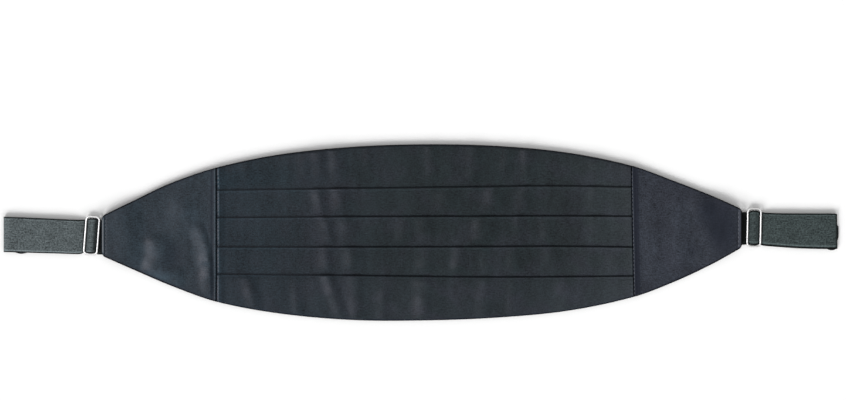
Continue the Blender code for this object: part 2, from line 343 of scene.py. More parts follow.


# %% [markdown]
# ## Satin
#
# Satin is woven so that long threads float on its face.  Seen close it is a mass of fine parallel
# lines, seen from further off it is a smooth dark cloth whose sheen drifts a little in tone.  Here the
# threads are noise that is stretched along the cloth, once at the size of a thread and once at the
# size of the faint streaks that show in the photograph.  The slate drifts from blue at the left to
# grey in the middle, and the two side panels, cut from other parts of the cloth, are lighter.  The dye
# is painted darker as shade at turned edges, in seams, beyond folds and on hidden cloth, and painted
# paler as highlights along pressed lines and ridges and in soft patches.

# %% Dyes and textures of the satin
FRONT_LEFT = (0.0066, 0.0128, 0.0178, 1.0)
FRONT_MIDDLE = (0.0065, 0.0107, 0.0119, 1.0)
FRONT_RIGHT = (0.0126, 0.0158, 0.0175, 1.0)
PANEL_LEFT = (0.0118, 0.0185, 0.0243, 1.0)
PANEL_RIGHT = (0.0172, 0.0206, 0.0278, 1.0)
SATIN_VIOLET = (0.0124, 0.0134, 0.0190, 1.0)
# the pale grey of strong painted highlights
PALE_HIGHLIGHT = (0.116, 0.117, 0.122, 1.0)
# the blue that cloth in half painted shade is mixed towards
SHADE_BLUE = (0.0030, 0.0062, 0.0150, 1.0)

# these three follow the cloth, the next three the place on the garment
THREADS = Texture(240.0, 3600.0, 1.0, 1.0, 0.5, 0.8)
STREAKS = Texture(300.0, 1150.0, 1.0, 2.0, 0.5, 1.4)
GRAIN = Texture(980.0, 900.0, 1.0, 2.0, 0.65, 2.7)
MOTTLE = Texture(260.0, 120.0, 1.0, 2.0, 0.5, 0.8)
DRIFT = Texture(62.0, 16.0, 1.0, 3.0, 0.55, 1.0)
HUE = Texture(48.0, 60.0, 1.0, 2.0, 0.5, 1.0)

# where the dye changes along the front, in metres: it starts and has finished changing
TO_MIDDLE = (-0.19, 0.02)
TO_RIGHT = (0.05, 0.20)
LOWEST_BAND = (-0.050, -0.012)      # the same, up the front
RIGHT_END = (0.113, 0.123)
VIOLET_FROM = (-0.092, -0.078)      # a stretch that is a little more violet
VIOLET_TO = (-0.064, -0.046)
HUE_TURNS = (0.44, 0.64)
# how far full painted shade darkens the dye, and how much painted highlight lightens it
SATIN_SHADE_DARKER = 0.92
HIGHLIGHT_LIGHTER = 2.4
HIGHLIGHT_TURNS_PALE = (0.7, 1.6)              # painted highlight this strong turns pale grey
THREAD_RELIEF = 0.00006             # metres
print("the dye turns to its middle tone over", round((TO_MIDDLE[1] - TO_MIDDLE[0]) / MM), "mm")


# %% Satin
def satin_finish(name, left, middle, right, varied):
    """Satin whose dye drifts from left to right; varied (0 or 1) adds the changes of the front."""
    satin = Finish(name)
    place = satin.object_place()
    cloth = satin.sheet_place()
    axes = satin.node("ShaderNodeSeparateXYZ", {}, {"Vector": place})
    along = Number(satin, axes.outputs["X"])
    up = Number(satin, axes.outputs["Y"])
    threads = satin.textured(cloth, THREADS)
    streaks = satin.textured(cloth, STREAKS)
    grain = satin.textured(cloth, GRAIN)
    mottle = satin.textured(place, MOTTLE)
    drift = satin.textured(place, DRIFT)
    hue = satin.textured(place, HUE)
    # painted shade and painted highlight, kept at each point of the cloth
    edge = satin.attribute("edge")
    worn = satin.attribute("worn")

    left_part = satin.between(along, *TO_MIDDLE)
    right_part = satin.between(along, *TO_RIGHT)
    low_part = 1 - satin.between(up, *LOWEST_BAND)
    right_end = satin.between(along, *RIGHT_END) * (1 - low_part)
    violet_part = satin.between(along, *VIOLET_FROM) * (1 - satin.between(along, *VIOLET_TO))
    violet = low_part * 0.2 + violet_part * (1 - low_part) * 0.35
    colour = satin.mixed(left_part, left, middle)
    colour = satin.mixed(right_part, colour, right)
    turned = satin.between(hue, *HUE_TURNS) * (0.15 + left_part * 0.25) + violet * varied
    colour = satin.mixed(turned, colour, SATIN_VIOLET)

    textures = ((threads, THREADS), (streaks, STREAKS), (grain, GRAIN), (mottle, MOTTLE), (drift, DRIFT))
    low_lighter = 0.13 + left_part * 0.17 + right_part * 0.6
    tone = satin.toned(textures) + low_part * varied * low_lighter + right_end * varied * 0.34
    # painted shade darkens the dye and painted highlight lightens it
    tone = tone * (1 - edge * SATIN_SHADE_DARKER) + worn * HIGHLIGHT_LIGHTER
    half_shaded = edge * (1 - edge) * 1.8
    colour = satin.mixed(half_shaded, satin.dimmed(colour, tone), SHADE_BLUE)
    # strong painted highlights turn pale grey
    colour = satin.mixed(satin.between(worn, *HIGHLIGHT_TURNS_PALE), colour, PALE_HIGHLIGHT)
    satin.coloured(colour, 0.36 + (grain - 0.5) * 0.3 + (drift - 0.5) * 0.2 + edge * 0.4)
    satin.bumped(threads * 0.8 + streaks * 0.6 + grain * 0.5, THREAD_RELIEF)
    satin.plain(Specular_IOR_Level=0.19, Specular_Tint=(0.93, 0.93, 1.0, 1.0))
    return satin.material


satin = satin_finish("slate_satin", FRONT_LEFT, FRONT_MIDDLE, FRONT_RIGHT, 1.0)
satin_left = satin_finish("slate_satin_left", PANEL_LEFT, PANEL_LEFT, PANEL_LEFT, 0.0)
satin_right = satin_finish("slate_satin_right", PANEL_RIGHT, PANEL_RIGHT, PANEL_RIGHT, 0.0)
print("satin: three dyes of one weave")

# %% [markdown]
# ## Elastic
#
# The straps are woven elastic: matt grey-green yarn in lengthwise ribs, flecked with lighter and
# darker yarns, with a firmer selvedge along each side.  The left strap is the lighter of the two.

# %% Elastic
ELASTIC_LIGHT = (0.0618, 0.0740, 0.0774)
ELASTIC_DARK = (0.0318, 0.0420, 0.0425)
RIBS = Texture(150.0, 1300.0, 1.0, 1.0, 0.5, 0.9)
PICKS = Texture(1300.0, 500.0, 1.0, 2.0, 0.5, 0.5)
FLECKS = Texture(820.0, 900.0, 1.0, 2.0, 0.7, 3.4)
PATCHES = Texture(100.0, 160.0, 1.0, 2.0, 0.5, 0.8)
YARN_RELIEF = 0.00025
# how far full painted shade darkens the elastic
ELASTIC_SHADE_DARKER = 0.93


def elastic_finish(name, yarn, highlight_strength):
    elastic = Finish(name)
    cloth = elastic.sheet_place()
    kinds = (RIBS, PICKS, FLECKS, PATCHES)
    ribs, picks, flecks, patches = [elastic.textured(cloth, kind) for kind in kinds]
    tone = elastic.toned(zip((ribs, picks, flecks, patches), kinds))
    # painted highlight lightens the yarn and painted shade darkens it
    tone = tone + elastic.attribute("worn") * highlight_strength
    tone = tone * (1 - elastic.attribute("edge") * ELASTIC_SHADE_DARKER)
    elastic.coloured(elastic.dimmed(yarn, tone), 0.75 + (picks - 0.5) * 0.2)
    elastic.bumped(ribs * 0.6 + picks * 0.7 + flecks * 0.8, YARN_RELIEF)
    elastic.plain(Specular_IOR_Level=0.08)
    return elastic.material


elastic_left = elastic_finish("elastic_left", ELASTIC_LIGHT, 1.25)
elastic_right = elastic_finish("elastic_right", ELASTIC_DARK, 1.35)
print("elastic: a light yarn for the left strap and a dark one for the right")

# %% [markdown]
# ## Wire and thread
#
# The adjusters, the hook and the eye are plated wire, drawn through a die, which leaves faint lines.
# The sewing thread is a shade lighter than the satin and twisted.

# %% Wire and thread
PLATED = (0.78, 0.78, 0.77)
DRAWN_LINES = Texture(4000.0, 400.0, 4000.0, 2.0, 0.5, 0.06)
CLOUDS = Texture(300.0, 300.0, 300.0, 2.0, 0.5, 0.1)
THREAD_DYE = (0.070, 0.076, 0.088)
TWIST = Texture(2500.0, 5200.0, 2500.0, 1.0, 0.5, 0.6)


def wire_finish():
    wire = Finish("plated_wire")
    place = wire.object_place()
    drawn = wire.textured(place, DRAWN_LINES)
    cloudy = wire.textured(place, CLOUDS)
    plated = wire.dimmed(PLATED, 0.94 + cloudy * CLOUDS.contrast)
    wire.coloured(plated, 0.36 + cloudy * 0.08 + drawn * DRAWN_LINES.contrast)
    wire.bumped(drawn, 0.000008)
    wire.plain(Metallic=1.0)
    return wire.material


def thread_finish():
    thread = Finish("sewing_thread")
    twist = thread.textured(thread.object_place(), TWIST)
    thread.coloured(thread.dimmed(THREAD_DYE, 0.7 + twist * TWIST.contrast), 0.4 + twist * 0.2)
    thread.bumped(twist, THREAD_RELIEF)
    thread.plain(Specular_IOR_Level=0.4)
    return thread.material


plated_wire = wire_finish()
sewing_thread = thread_finish()
print("finishes:", plated_wire.name, "and", sewing_thread.name)

# %% [markdown]
# ## The pattern
#
# These are the garment's own lines, the same as in the CAD model: the outline, the four folds, the
# seams and the tips.  Everything later reads them.

# %% Outline, folds, seams and tips
SEAM_LEFT = -147.2
SEAM_RIGHT = 152.3
SEAM_RIGHT_LEAN = -0.02     # the right seam leans outwards at its lower end
TIP_LEFT = -229.7
TIP_RIGHT = 231.1

Edge = namedtuple("Edge", "x top bottom")
OUTLINE = (
    Edge(-229.7, 12.0, -16.6),
    Edge(-206.3, 23.4, -27.0),
    Edge(-180.4, 35.6, -38.1),
    Edge(-147.2, 46.9, -49.8),
    Edge(-102.6, 56.2, -58.2),
    Edge(-50.8, 61.7, -62.9),
    Edge(0.0, 63.6, -63.3),
    Edge(52.9, 62.6, -61.3),
    Edge(104.8, 57.9, -56.3),
    Edge(152.3, 48.3, -46.3),
    Edge(182.5, 37.3, -35.2),
    Edge(208.4, 27.1, -23.2),
    Edge(231.1, 16.9, -10.6),
)

Folds = namedtuple("Folds", "x fold_1 fold_2 fold_3 fold_4")
FOLDS = (
    Folds(-147.2, 30.3, 10.5, -10.5, -30.1),
    Folds(-50.8, 31.5, 11.2, -10.7, -31.2),
    Folds(40.7, 32.6, 11.4, -10.5, -32.3),
    Folds(94.7, 33.3, 11.7, -10.2, -32.2),
    Folds(152.3, 32.4, 11.4, -10.8, -31.6),
)
FOLD_NAMES = ("fold_4", "fold_3", "fold_2", "fold_1")
body_height = value_at(OUTLINE, "top", 0.0) - value_at(OUTLINE, "bottom", 0.0)
print("the body is", round(body_height, 1), "mm high at its middle")

# %% [markdown]
# ## Creases
#
# Pressed satin keeps soft creases.  Each one here is a low ridge along its own line, with a left and a
# right flank of their own widths, because the light comes from the left and a steep right flank
# reads as a thin dark line.  They are placed one by one from the photograph, band by band, since each
# band of a pleat is free to crease by itself.

# %% Creases of the front
Crease = namedtuple("Crease", "x_top y_top x_low y_low bow left right height")
FRONT_CREASES = (
    # band 1, above the first fold
    Crease(-127.0, 58.0, -124.0, 30.0, 0.0, 6.0, 6.0, 0.18),
    Crease(-84.4, 68.0, -82.0, 30.0, 0.0, 8.0, 5.0, 0.34),
    Crease(-74.6, 70.0, -71.8, 24.0, 0.6, 11.0, 7.0, 0.66),
    Crease(-61.5, 70.0, -58.5, 24.0, 0.0, 9.0, 9.0, 0.66),
    Crease(-37.6, 70.0, -38.5, 40.0, 0.0, 4.0, 6.0, 0.18),
    Crease(7.5, 70.0, 8.3, 26.0, 0.0, 6.1, 6.2, 0.35),
    Crease(40.2, 70.0, 38.0, 24.0, 0.0, 9.5, 7.5, 0.52),
    Crease(64.0, 70.0, 61.8, 40.0, 0.0, 6.8, 6.2, 0.35),
    Crease(75.4, 70.0, 76.6, 24.0, 1.0, 5.4, 10.0, 0.43),
    Crease(128.2, 62.0, 127.0, 24.0, 0.0, 9.5, 11.2, 0.50),
    # band 2
    Crease(-74.6, 36.0, -69.0, 6.0, 0.6, 8.5, 3.2, 0.70),
    Crease(-58.4, 36.0, -56.6, 6.0, 0.0, 8.0, 10.0, 0.50),
    Crease(18.4, 36.0, 19.4, 6.0, 0.0, 12.2, 10.0, 0.39),
    Crease(53.8, 36.0, 50.6, 8.0, 0.0, 9.5, 10.0, 0.67),
    Crease(75.5, 36.0, 73.9, 8.0, 0.0, 8.1, 7.5, 0.43),
    Crease(126.5, 36.0, 125.5, 6.0, 0.0, 8.1, 12.5, 0.56),
    # band 3
    Crease(-67.6, 15.0, -63.2, -16.0, 0.0, 10.0, 3.0, 0.62),
    Crease(-54.0, 15.0, -51.4, -16.0, 0.0, 8.0, 10.0, 0.44),
    Crease(-11.7, 13.0, -13.1, -12.0, 0.0, 8.1, 7.5, 0.32),
    Crease(2.9, 15.0, 4.0, -16.0, 0.0, 9.5, 10.0, 0.39),
    Crease(43.8, 15.0, 42.0, -16.0, 1.2, 10.8, 7.5, 0.74),
    Crease(51.6, 15.0, 49.6, -8.0, 0.0, 5.4, 7.5, 0.32),
    Crease(70.8, 15.0, 69.6, -10.0, 0.0, 5.4, 5.0, 0.43),
    Crease(90.3, 15.0, 91.9, -12.0, 0.0, 8.1, 7.5, 0.50),
    Crease(127.4, 15.0, 128.2, -16.0, 0.0, 10.8, 11.2, 0.50),
    # band 4
    Crease(-68.0, -6.0, -65.4, -37.0, 0.0, 10.0, 3.4, 0.62),
    Crease(-50.0, -6.0, -47.6, -37.0, 0.0, 9.5, 12.0, 0.56),
    Crease(4.0, -6.0, 2.9, -34.0, 0.0, 9.5, 8.8, 0.46),
    Crease(28.1, -6.0, 25.4, -32.0, 0.0, 6.8, 7.5, 0.56),
    Crease(46.1, -6.0, 47.1, -30.0, 0.0, 6.8, 6.2, 0.35),
    Crease(66.0, -6.0, 67.0, -36.0, 0.0, 6.8, 7.5, 0.50),
    Crease(93.6, -6.0, 95.2, -34.0, 0.0, 10.8, 10.0, 0.52),
    Crease(120.8, -6.0, 118.3, -36.0, 0.0, 12.2, 11.2, 0.39),
    Crease(140.2, -6.0, 141.1, -36.0, 0.0, 9.5, 8.8, 0.35),
    # band 5, below the last fold
    Crease(-126.6, -27.0, -117.6, -62.0, 1.4, 9.0, 6.0, 0.56),
    Crease(-91.0, -28.0, -87.6, -64.0, 0.0, 6.0, 5.0, 0.34),
    Crease(-67.6, -26.0, -54.0, -70.0, 0.0, 9.0, 4.8, 0.62),
    Crease(-47.0, -26.0, -45.6, -72.0, 0.0, 9.0, 9.0, 0.46),
    Crease(-26.0, -36.0, -28.6, -72.0, 0.0, 7.0, 5.0, 0.38),
    Crease(2.4, -26.0, 0.6, -74.0, 0.8, 11.5, 7.0, 0.72),
    Crease(11.0, -30.0, 9.8, -64.0, 0.0, 10.8, 7.5, 0.35),
    Crease(46.6, -26.0, 44.0, -72.0, 0.0, 8.8, 7.5, 0.63),
    Crease(65.8, -28.0, 64.8, -68.0, 0.0, 6.8, 7.5, 0.39),
    Crease(104.2, -26.0, 102.2, -66.0, 0.0, 10.8, 10.0, 0.46),
)
print(len(FRONT_CREASES), "creases in the front")

# %% Creases of the side panels
LEFT_CREASES = (
    Crease(-193.0, 2.0, -194.6, -36.0, 0.4, 9.5, 14.0, 1.05),
    Crease(-160.6, 11.0, -151.4, -44.0, 2.9, 11.5, 3.4, 1.00),
    Crease(-152.6, -16.0, -151.6, -60.0, 0.0, 8.0, 3.4, 0.36),
    Crease(-173.0, 28.0, -169.0, -4.0, 0.0, 16.0, 12.0, 0.45),
    Crease(-154.0, -4.0, -152.8, -33.0, 0.4, 6.5, 3.4, 0.50),
    Crease(-176.0, -22.0, -178.0, -50.0, 0.0, 14.0, 8.0, 0.80),
    Crease(-186.0, -1.0, -186.0, -38.0, 0.0, 13.0, 10.0, 0.80),
    Crease(-208.0, 22.0, -207.0, -28.0, 0.0, 13.0, 13.0, 0.62),
)
RIGHT_CREASES = (
    Crease(166.0, 44.0, 168.0, -46.0, 0.0, 9.0, 14.0, 0.30),
    Crease(181.0, 42.0, 186.0, -40.0, 2.0, 14.0, 12.0, 0.45),
    Crease(199.0, 36.0, 207.0, -30.0, 1.0, 14.0, 12.0, 0.70),
    Crease(196.6, -6.0, 203.0, -26.0, 0.0, 4.0, 4.0, 0.22),
    Crease(224.0, 12.0, 222.0, -12.0, 0.0, 6.0, 5.0, 0.20),
)
print(len(LEFT_CREASES), "creases in the left panel and", len(RIGHT_CREASES), "in the right")

# %% How creases lift the cloth
CREASE_FADE = 0.28          # part of a crease's length over which each end dies away
CREASE_UNEVEN = 0.7         # how much a crease swells and sinks along its length


def crumple(x, y, across, along):
    """Small uneven swellings, from -1 to 1, of about this size in millimetres."""
    return noise.noise(Vector((x / across, y / along, 0.5)))


def crease_lift(creases, x, y):
    """How far the creases lift the cloth at a place."""
    lift = 0.0
    for crease in creases:
        t = (crease.y_top - y) / (crease.y_top - crease.y_low)
        if not 0 < t < 1:
            continue
        crest = crease.x_top + (crease.x_low - crease.x_top) * t + crease.bow * 4 * t * (1 - t)
        reach = crease.left if x < crest else crease.right
        if abs(x - crest) < reach:
            fade = ease(t / CREASE_FADE) * ease((1 - t) / CREASE_FADE)
            fade *= 1 + CREASE_UNEVEN * crumple(crest, y, 9.0, 8.0)
            lift += crease.height * fade * (1 + math.cos(math.pi * (x - crest) / reach)) / 2
    return lift


print("the first crease lifts", round(crease_lift(FRONT_CREASES, -125.5, 44.0), 2), "mm half way along it")

# %% [markdown]
# ## Turning points into cloth
#
# A sheet of cloth is laid out as rows of points, each row one line across the piece.  The points make
# a grid of faces, Solidify gives the grid its thickness, and a UV map in metres records where each
# point was on the flat cloth, so that the weave follows every fold.  Two more values are kept at each
# point: how much painted shade darkens the dye there, and how much painted highlight lightens it.

# %% Sheets
# the last two are a place's painted shade and painted highlight
Place = namedtuple("Place", "x y z edge worn")


def add_grid(shape, rows):
    """The places of every row as vertices, with what is known about each."""
    edge = shape.verts.layers.float.new("edge")
    worn = shape.verts.layers.float.new("worn")
    grid = []
    for row in rows:
        line = []
        for place in row:
            vert = shape.verts.new((place.x * MM, place.y * MM, place.z * MM))
            vert[edge] = place.edge
            vert[worn] = place.worn
            line.append(vert)
        grid.append(line)
    return grid


def laid_mesh(name, rows, closed, level=0):
    """A grid through rows of places, on straight grain at the column called level.

    Closed joins the last place of each row to its first.
    """
    shape = bmesh.new()
    cloth_map = shape.loops.layers.uv.new("cloth")
    grid = add_grid(shape, rows)
    lengths = []
    for row in rows:
        run = run_lengths([(place.y, place.z) for place in list(row) + [row[0]]])
        lengths.append([row[level].y + length - run[level] for length in run])
    count = len(rows[0])
    for index in range(len(rows) - 1):
        for column in range(count if closed else count - 1):
            following = (column + 1) % count
            corners = (
                (index, column, column),
                (index + 1, column, column),
                (index + 1, following, column + 1),
                (index, following, column + 1),
            )
            face = shape.faces.new([grid[row][spot] for row, spot, _ in corners])
            face.smooth = True
            for loop, (row, spot, along) in zip(face.loops, corners):
                loop[cloth_map].uv = (rows[row][spot].x * MM, lengths[row][along] * MM)
    if closed:
        shape.faces.new(grid[0])
        shape.faces.new(list(reversed(grid[-1])))
        bmesh.ops.recalc_face_normals(shape, faces=shape.faces)
    mesh = bpy.data.meshes.new(name)
    shape.to_mesh(mesh)
    shape.free()
    return mesh


# %% Pieces
def select_only(piece):
    bpy.ops.object.select_all(action="DESELECT")
    piece.select_set(True)
    bpy.context.view_layer.objects.active = piece


def add_piece(name, mesh, material):
    piece = bpy.data.objects.new(name, mesh)
    mesh.materials.append(material)
    bpy.context.scene.collection.objects.link(piece)
    select_only(piece)
    return piece


def solidified(piece, thickness):
    wall = piece.modifiers.new("wall", "SOLIDIFY")
    wall.thickness = thickness * MM
    wall.offset = 0.0
    wall.use_even_offset = True
    bpy.ops.object.modifier_apply(modifier=wall.name)


def report(piece):
    sizes = [round(side / MM, 1) for side in piece.dimensions]
    print(piece.name, sizes, "mm,", len(piece.data.polygons), "faces")


def half_turn(across, height, radius, side, start, steps):
    """Half a turn of cloth round (across, height), bulging to side.

    It starts at the top where start is 1 and at the bottom where it is -1.
    """
    points = []
    for step in range(1, steps):
        angle = start * math.pi * (0.5 - step / steps)
        points.append((across + side * radius * math.cos(angle), height + radius * math.sin(angle)))
    return points


# %% [markdown]
# ## The pleated front
#
# The front is one cloth.  From the lower hem it runs up under the first fold, turns back on itself
# for 7 mm, turns again and carries on as the next band, four times.  Real pleats are pressed flat, so
# the layers lie close: a fold stands only about a millimetre above the band beyond it, which casts
# part of the thin dark line along each fold, and painted shadow darkens the rest.  Just before a fold
# the cloth rises a little more steeply, because it passes over the two hidden layers, and that catches
# the light, with a painted highlight along it.
#
# The section through the pleats is worked out at some 190 places along the garment and the sheet is
# laid through them.  The alternative, simulating four folds, would give wandering folds, and these
# are pressed and sewn in at both seams.

# %% Measures of the pleats
SATIN_CLOTH = 0.34          # thickness
LAYER = 0.40                # from the middle of one layer to the middle of the next
UNDERSIDE = 0.19            # middle of the turned-in hem, on the table
LOWEST = 0.95               # middle of the lowest pleat layer, on the backing and interlining
PLEAT_DEPTH = 7.0
HEM = 3.6
HEM_TOP = 2.75              # the hems are fuller: their turned-in cloth is inside
FOLD_CLEAR = 0.45
FOLD_OVERLAP = 0.8          # how far the lowest layer runs on before the band is counted
FOLD_GROOVE = 1.0           # width over which the cloth rises again beyond a fold
GROOVE_SHARE = 0.4          # share of a band's rise that is taken there, at full shade
FOLD_SHARE = 0.26           # share that is taken just before the next fold
FOLD_RAMP = 2.6             # and the width of that last rise
HEM_SHARE = 0.30            # the same two for the lowest band, which starts at the hem
HEM_RAMP = 3.0
NEAR_FOLD = (0.0, 0.2, 0.4, 0.6, 0.8, 1.05)     # the first points beyond a fold
BAND_STEPS = (30, 26, 26, 26, 36)   # rows of points up each band, from the lowest
BAND_CROWN = 0.12
BAND_HELD = 0.34            # share of a band, from its fold, that isn't quite free to crease
FOLD_STANDS = 0.3           # how much higher the folds stand past the double crease
STANDS_FROM = -105.0        # where they begin to, and over what length
STANDS_OVER = 70.0
FOLD_SHADE = 0.36           # of the painted shadow line beyond a fold
SHADE_STANDING = 1.9        # and more for each millimetre that the fold stands higher
FOLD_HIGHLIGHT = Fade(0.3, 0.0, 1.5)     # painted highlight just before a fold, from the fold inwards
FOLD_SHADOW_LINE = Fade(1.0, 0.0, 0.5)     # the painted shadow line beyond a fold
HEM_SHADE = Fade(1.0, 0.7, 0.65)     # painted shade on a turned edge, from the edge inwards
# painted shade on cloth that lies hidden
HIDDEN_SHADE = 0.6

# the last two are painted shade and painted highlight, as in a Place
Knot = namedtuple("Knot", "y z free edge worn")
HEM_RADIUS = (HEM_TOP - UNDERSIDE) / 2
HEM_INSET = HEM_RADIUS + SATIN_CLOTH / 2
FOLD_RADIUS = LAYER / 2
FOLD_INSET = FOLD_RADIUS + SATIN_CLOTH / 2
print("the highest pleat layer lies", round(LOWEST + 2 * LAYER + FOLD_STANDS, 2), "mm up")


# %% Section through the pleats
def band_rise(t, beyond, to_fold, shade, lower_hem, upper_hem):
    """How much of its rise a band has made at t of its way, beyond its fold and before the next."""
    if lower_hem:
        return (1 - HEM_SHARE) * t + HEM_SHARE * ease(1 - to_fold / HEM_RAMP)
    groove = GROOVE_SHARE * shade
    if upper_hem:
        groove *= 0.6
        return groove * ease(beyond / FOLD_GROOVE) + (1 - groove) * ease(t * 1.15)
    slope = (1 - FOLD_SHARE - groove) * ease(t * 0.5 + 0.5 * t * t)
    return groove * ease(beyond / FOLD_GROOVE) + (slope + FOLD_SHARE * ease(1 - to_fold / FOLD_RAMP))


def band_points(start, end, steps, shade, lower_hem, upper_hem):
    """One visible band, between the (y, z) where it leaves a fold or hem and where it meets the next."""
    (start_y, start_z), (end_y, end_z) = start, end
    places = [start_y + distance for distance in NEAR_FOLD]
    places += spread(places[-1], end_y, steps - len(NEAR_FOLD) + 1)[1:]
    points = []
    for y in places:
        beyond = y - start_y
        to_fold = end_y - y
        t = beyond / (end_y - start_y)
        z = start_z + (end_z - start_z) * band_rise(t, beyond, to_fold, shade, lower_hem, upper_hem)
        z += BAND_CROWN * math.sin(math.pi * t)
        free = 1.0 if lower_hem else ease(t / BAND_HELD)
        # painted shadow line beyond the fold, and painted shade on the turned hems
        edge = shade * faded(FOLD_SHADOW_LINE, beyond)
        if lower_hem:
            edge = faded(HEM_SHADE, beyond + HEM_INSET)
        if upper_hem:
            edge = faded(HEM_SHADE, to_fold + HEM_INSET)
        # painted highlight just before the next fold
        worn = 0.0 if upper_hem else faded(FOLD_HIGHLIGHT, to_fold)
        points.append(Knot(y, z, free, edge, worn))
    return points


def hidden(points):
    """Points of cloth that nobody sees."""
    return [Knot(y, z, 0.0, HIDDEN_SHADE, 0.0) for y, z in points]


def hem_roll(y, outward, edge_y):
    """The hem's half turn round y, with the cloth's edge at edge_y."""
    roll = half_turn(y, UNDERSIDE + HEM_RADIUS, HEM_RADIUS, outward, outward, 9)
    return [Knot(y, z, 0.0, faded(HEM_SHADE, abs(y - edge_y)), 0.0) for y, z in roll]


def pleat(fold, upper, middle):
    """From the upper layer round the fold, back under it, round again and out on the lowest layer."""
    turned = half_turn(0.0, 0.0, 1.0, 1, 1, 6)
    reach = (upper - middle) / 2
    points = []
    for y, z in turned:
        height = (upper + middle) / 2 + z * reach
        free = ease((height - middle) / (upper - middle))
        # a little painted highlight on the fold's own turn
        points.append(Knot(fold - FOLD_INSET + y * FOLD_RADIUS, height, free, 0.0, 0.1))
    back = spread(fold - FOLD_INSET, fold - PLEAT_DEPTH + FOLD_INSET, 4)
    points += hidden([(y, middle) for y in back])
    points += hidden(half_turn(back[-1], LOWEST + FOLD_RADIUS, FOLD_RADIUS, -1, 1, 5))
    return points + hidden([(y, LOWEST) for y in spread(back[-1], fold + FOLD_CLEAR - FOLD_OVERLAP, 4)])


def pleated_section(top, folds, bottom, standing):
    """The cloth's middle from the lower hem over every pleat to the upper hem."""
    middle = LOWEST + LAYER
    upper = middle + LAYER + standing
    shade = FOLD_SHADE + SHADE_STANDING * standing
    turned_in = (HEM, HEM * 0.75, HEM_INSET)
    section = hidden([(bottom + inset, UNDERSIDE) for inset in turned_in])
    section += hem_roll(bottom + HEM_INSET, -1, bottom)
    start = (bottom + HEM_INSET, HEM_TOP)
    for index, fold in enumerate(folds):
        end = (fold - FOLD_INSET, upper)
        section += band_points(start, end, BAND_STEPS[index], shade, index == 0, False)
        section += pleat(fold, upper, middle)
        start = (fold + FOLD_CLEAR, LOWEST)
    section += band_points(start, (top - HEM_INSET, HEM_TOP), BAND_STEPS[-1], shade, False, True)
    section += hem_roll(top - HEM_INSET, 1, top)
    return section + hidden([(top - inset, UNDERSIDE) for inset in reversed(turned_in)])


# %% [markdown]
# At each seam the front lies over the side panel's seam allowance and comes down off it over the next
# few millimetres, and the row of sewing draws it into small puckers.  Columns of points are therefore
# about 0.45 mm apart near a seam and 1.8 mm apart elsewhere.

# %% Measures of the seams
SEAM_HALF_GAP = 0.2
ALLOWANCE = 3.4             # width of the seam allowance
ALLOWANCE_THICK = 0.34
ALLOWANCE_TOP = 0.30        # where it lies under the front
PUCKER_PITCH = 2.9
PUCKERS = Line(0.11, 1.5, 1.6)      # along the stitches of every seam
LEFT_TURN = 0.0             # where the puckers of the front's two seams begin
RIGHT_TURN = 1.9
FINE_COLUMN = 0.45
WIDE_COLUMN = 1.8
FINE_REACH = 7.0
SEAM_SHADOW_LINE = Fade(1.0, 0.0, 0.35)    # the painted shadow line in the seam
SEWN_LIP = Line(0.30, 1.5, 0.7)     # beside the left seam: a raised lip, with a painted highlight along it
LIP_HIGHLIGHT = Line(0.66, 1.35, 0.5)
LOW_SEAM_HIGHLIGHT = Line(0.24, 2.4, 0.8)   # a second painted highlight line along its lower half
# a painted highlight line beside the right seam
RIGHT_SEAM_HIGHLIGHT = Line(0.22, 1.0, 0.8)
LOW_SEAM_HIGHLIGHT_FROM = -6.0      # it starts here, and grows over the length in the next line
LOW_SEAM_HIGHLIGHT_OVER = 18.0
RIGHT_SEAM_HIGHLIGHT_FROM = 2.0
RIGHT_SEAM_HIGHLIGHT_OVER = 14.0
LEFT_COMES_DOWN = Fade(ALLOWANCE_THICK, 1.8, 5.0)   # from the allowance to the layer below
RIGHT_COMES_DOWN = Fade(ALLOWANCE_THICK, 0.6, 7.0)
CLOTH_SLACK = 0.085         # keeps the creases' hollows clear of the layer below
print("puckers are", PUCKER_PITCH, "mm apart along a seam, as its stitches are")


# %% The front panel
def seam_columns(start, end):
    """Places from seam to seam, close together near each."""
    near = spread(0.0, FINE_REACH, round(FINE_REACH / FINE_COLUMN))
    wide_steps = round((end - start - 2 * FINE_REACH) / WIDE_COLUMN)
    inner = spread(FINE_REACH, end - start - FINE_REACH, wide_steps)
    far = [end - start - distance for distance in reversed(near)]
    return [start + distance for distance in near + inner[1:-1] + far]


def pucker(y, distance, turn):
    """Small rise and fall along a row of stitches."""
    uneven = 0.75 + 0.25 * math.sin(y * 0.37 + turn)
    return beside(PUCKERS, distance) * uneven * math.sin(2 * math.pi * y / PUCKER_PITCH + turn)


def gentle_waves(x, y):
    """What keeps a pressed cloth from being quite flat."""
    first = math.sin(x * 0.112 + 0.6 + y * 0.013) * math.sin(y * 0.061 + 1.1)
    second = math.sin(x * 0.231 + y * 0.047 + 2.0)
    return 0.035 * first + 0.02 * second


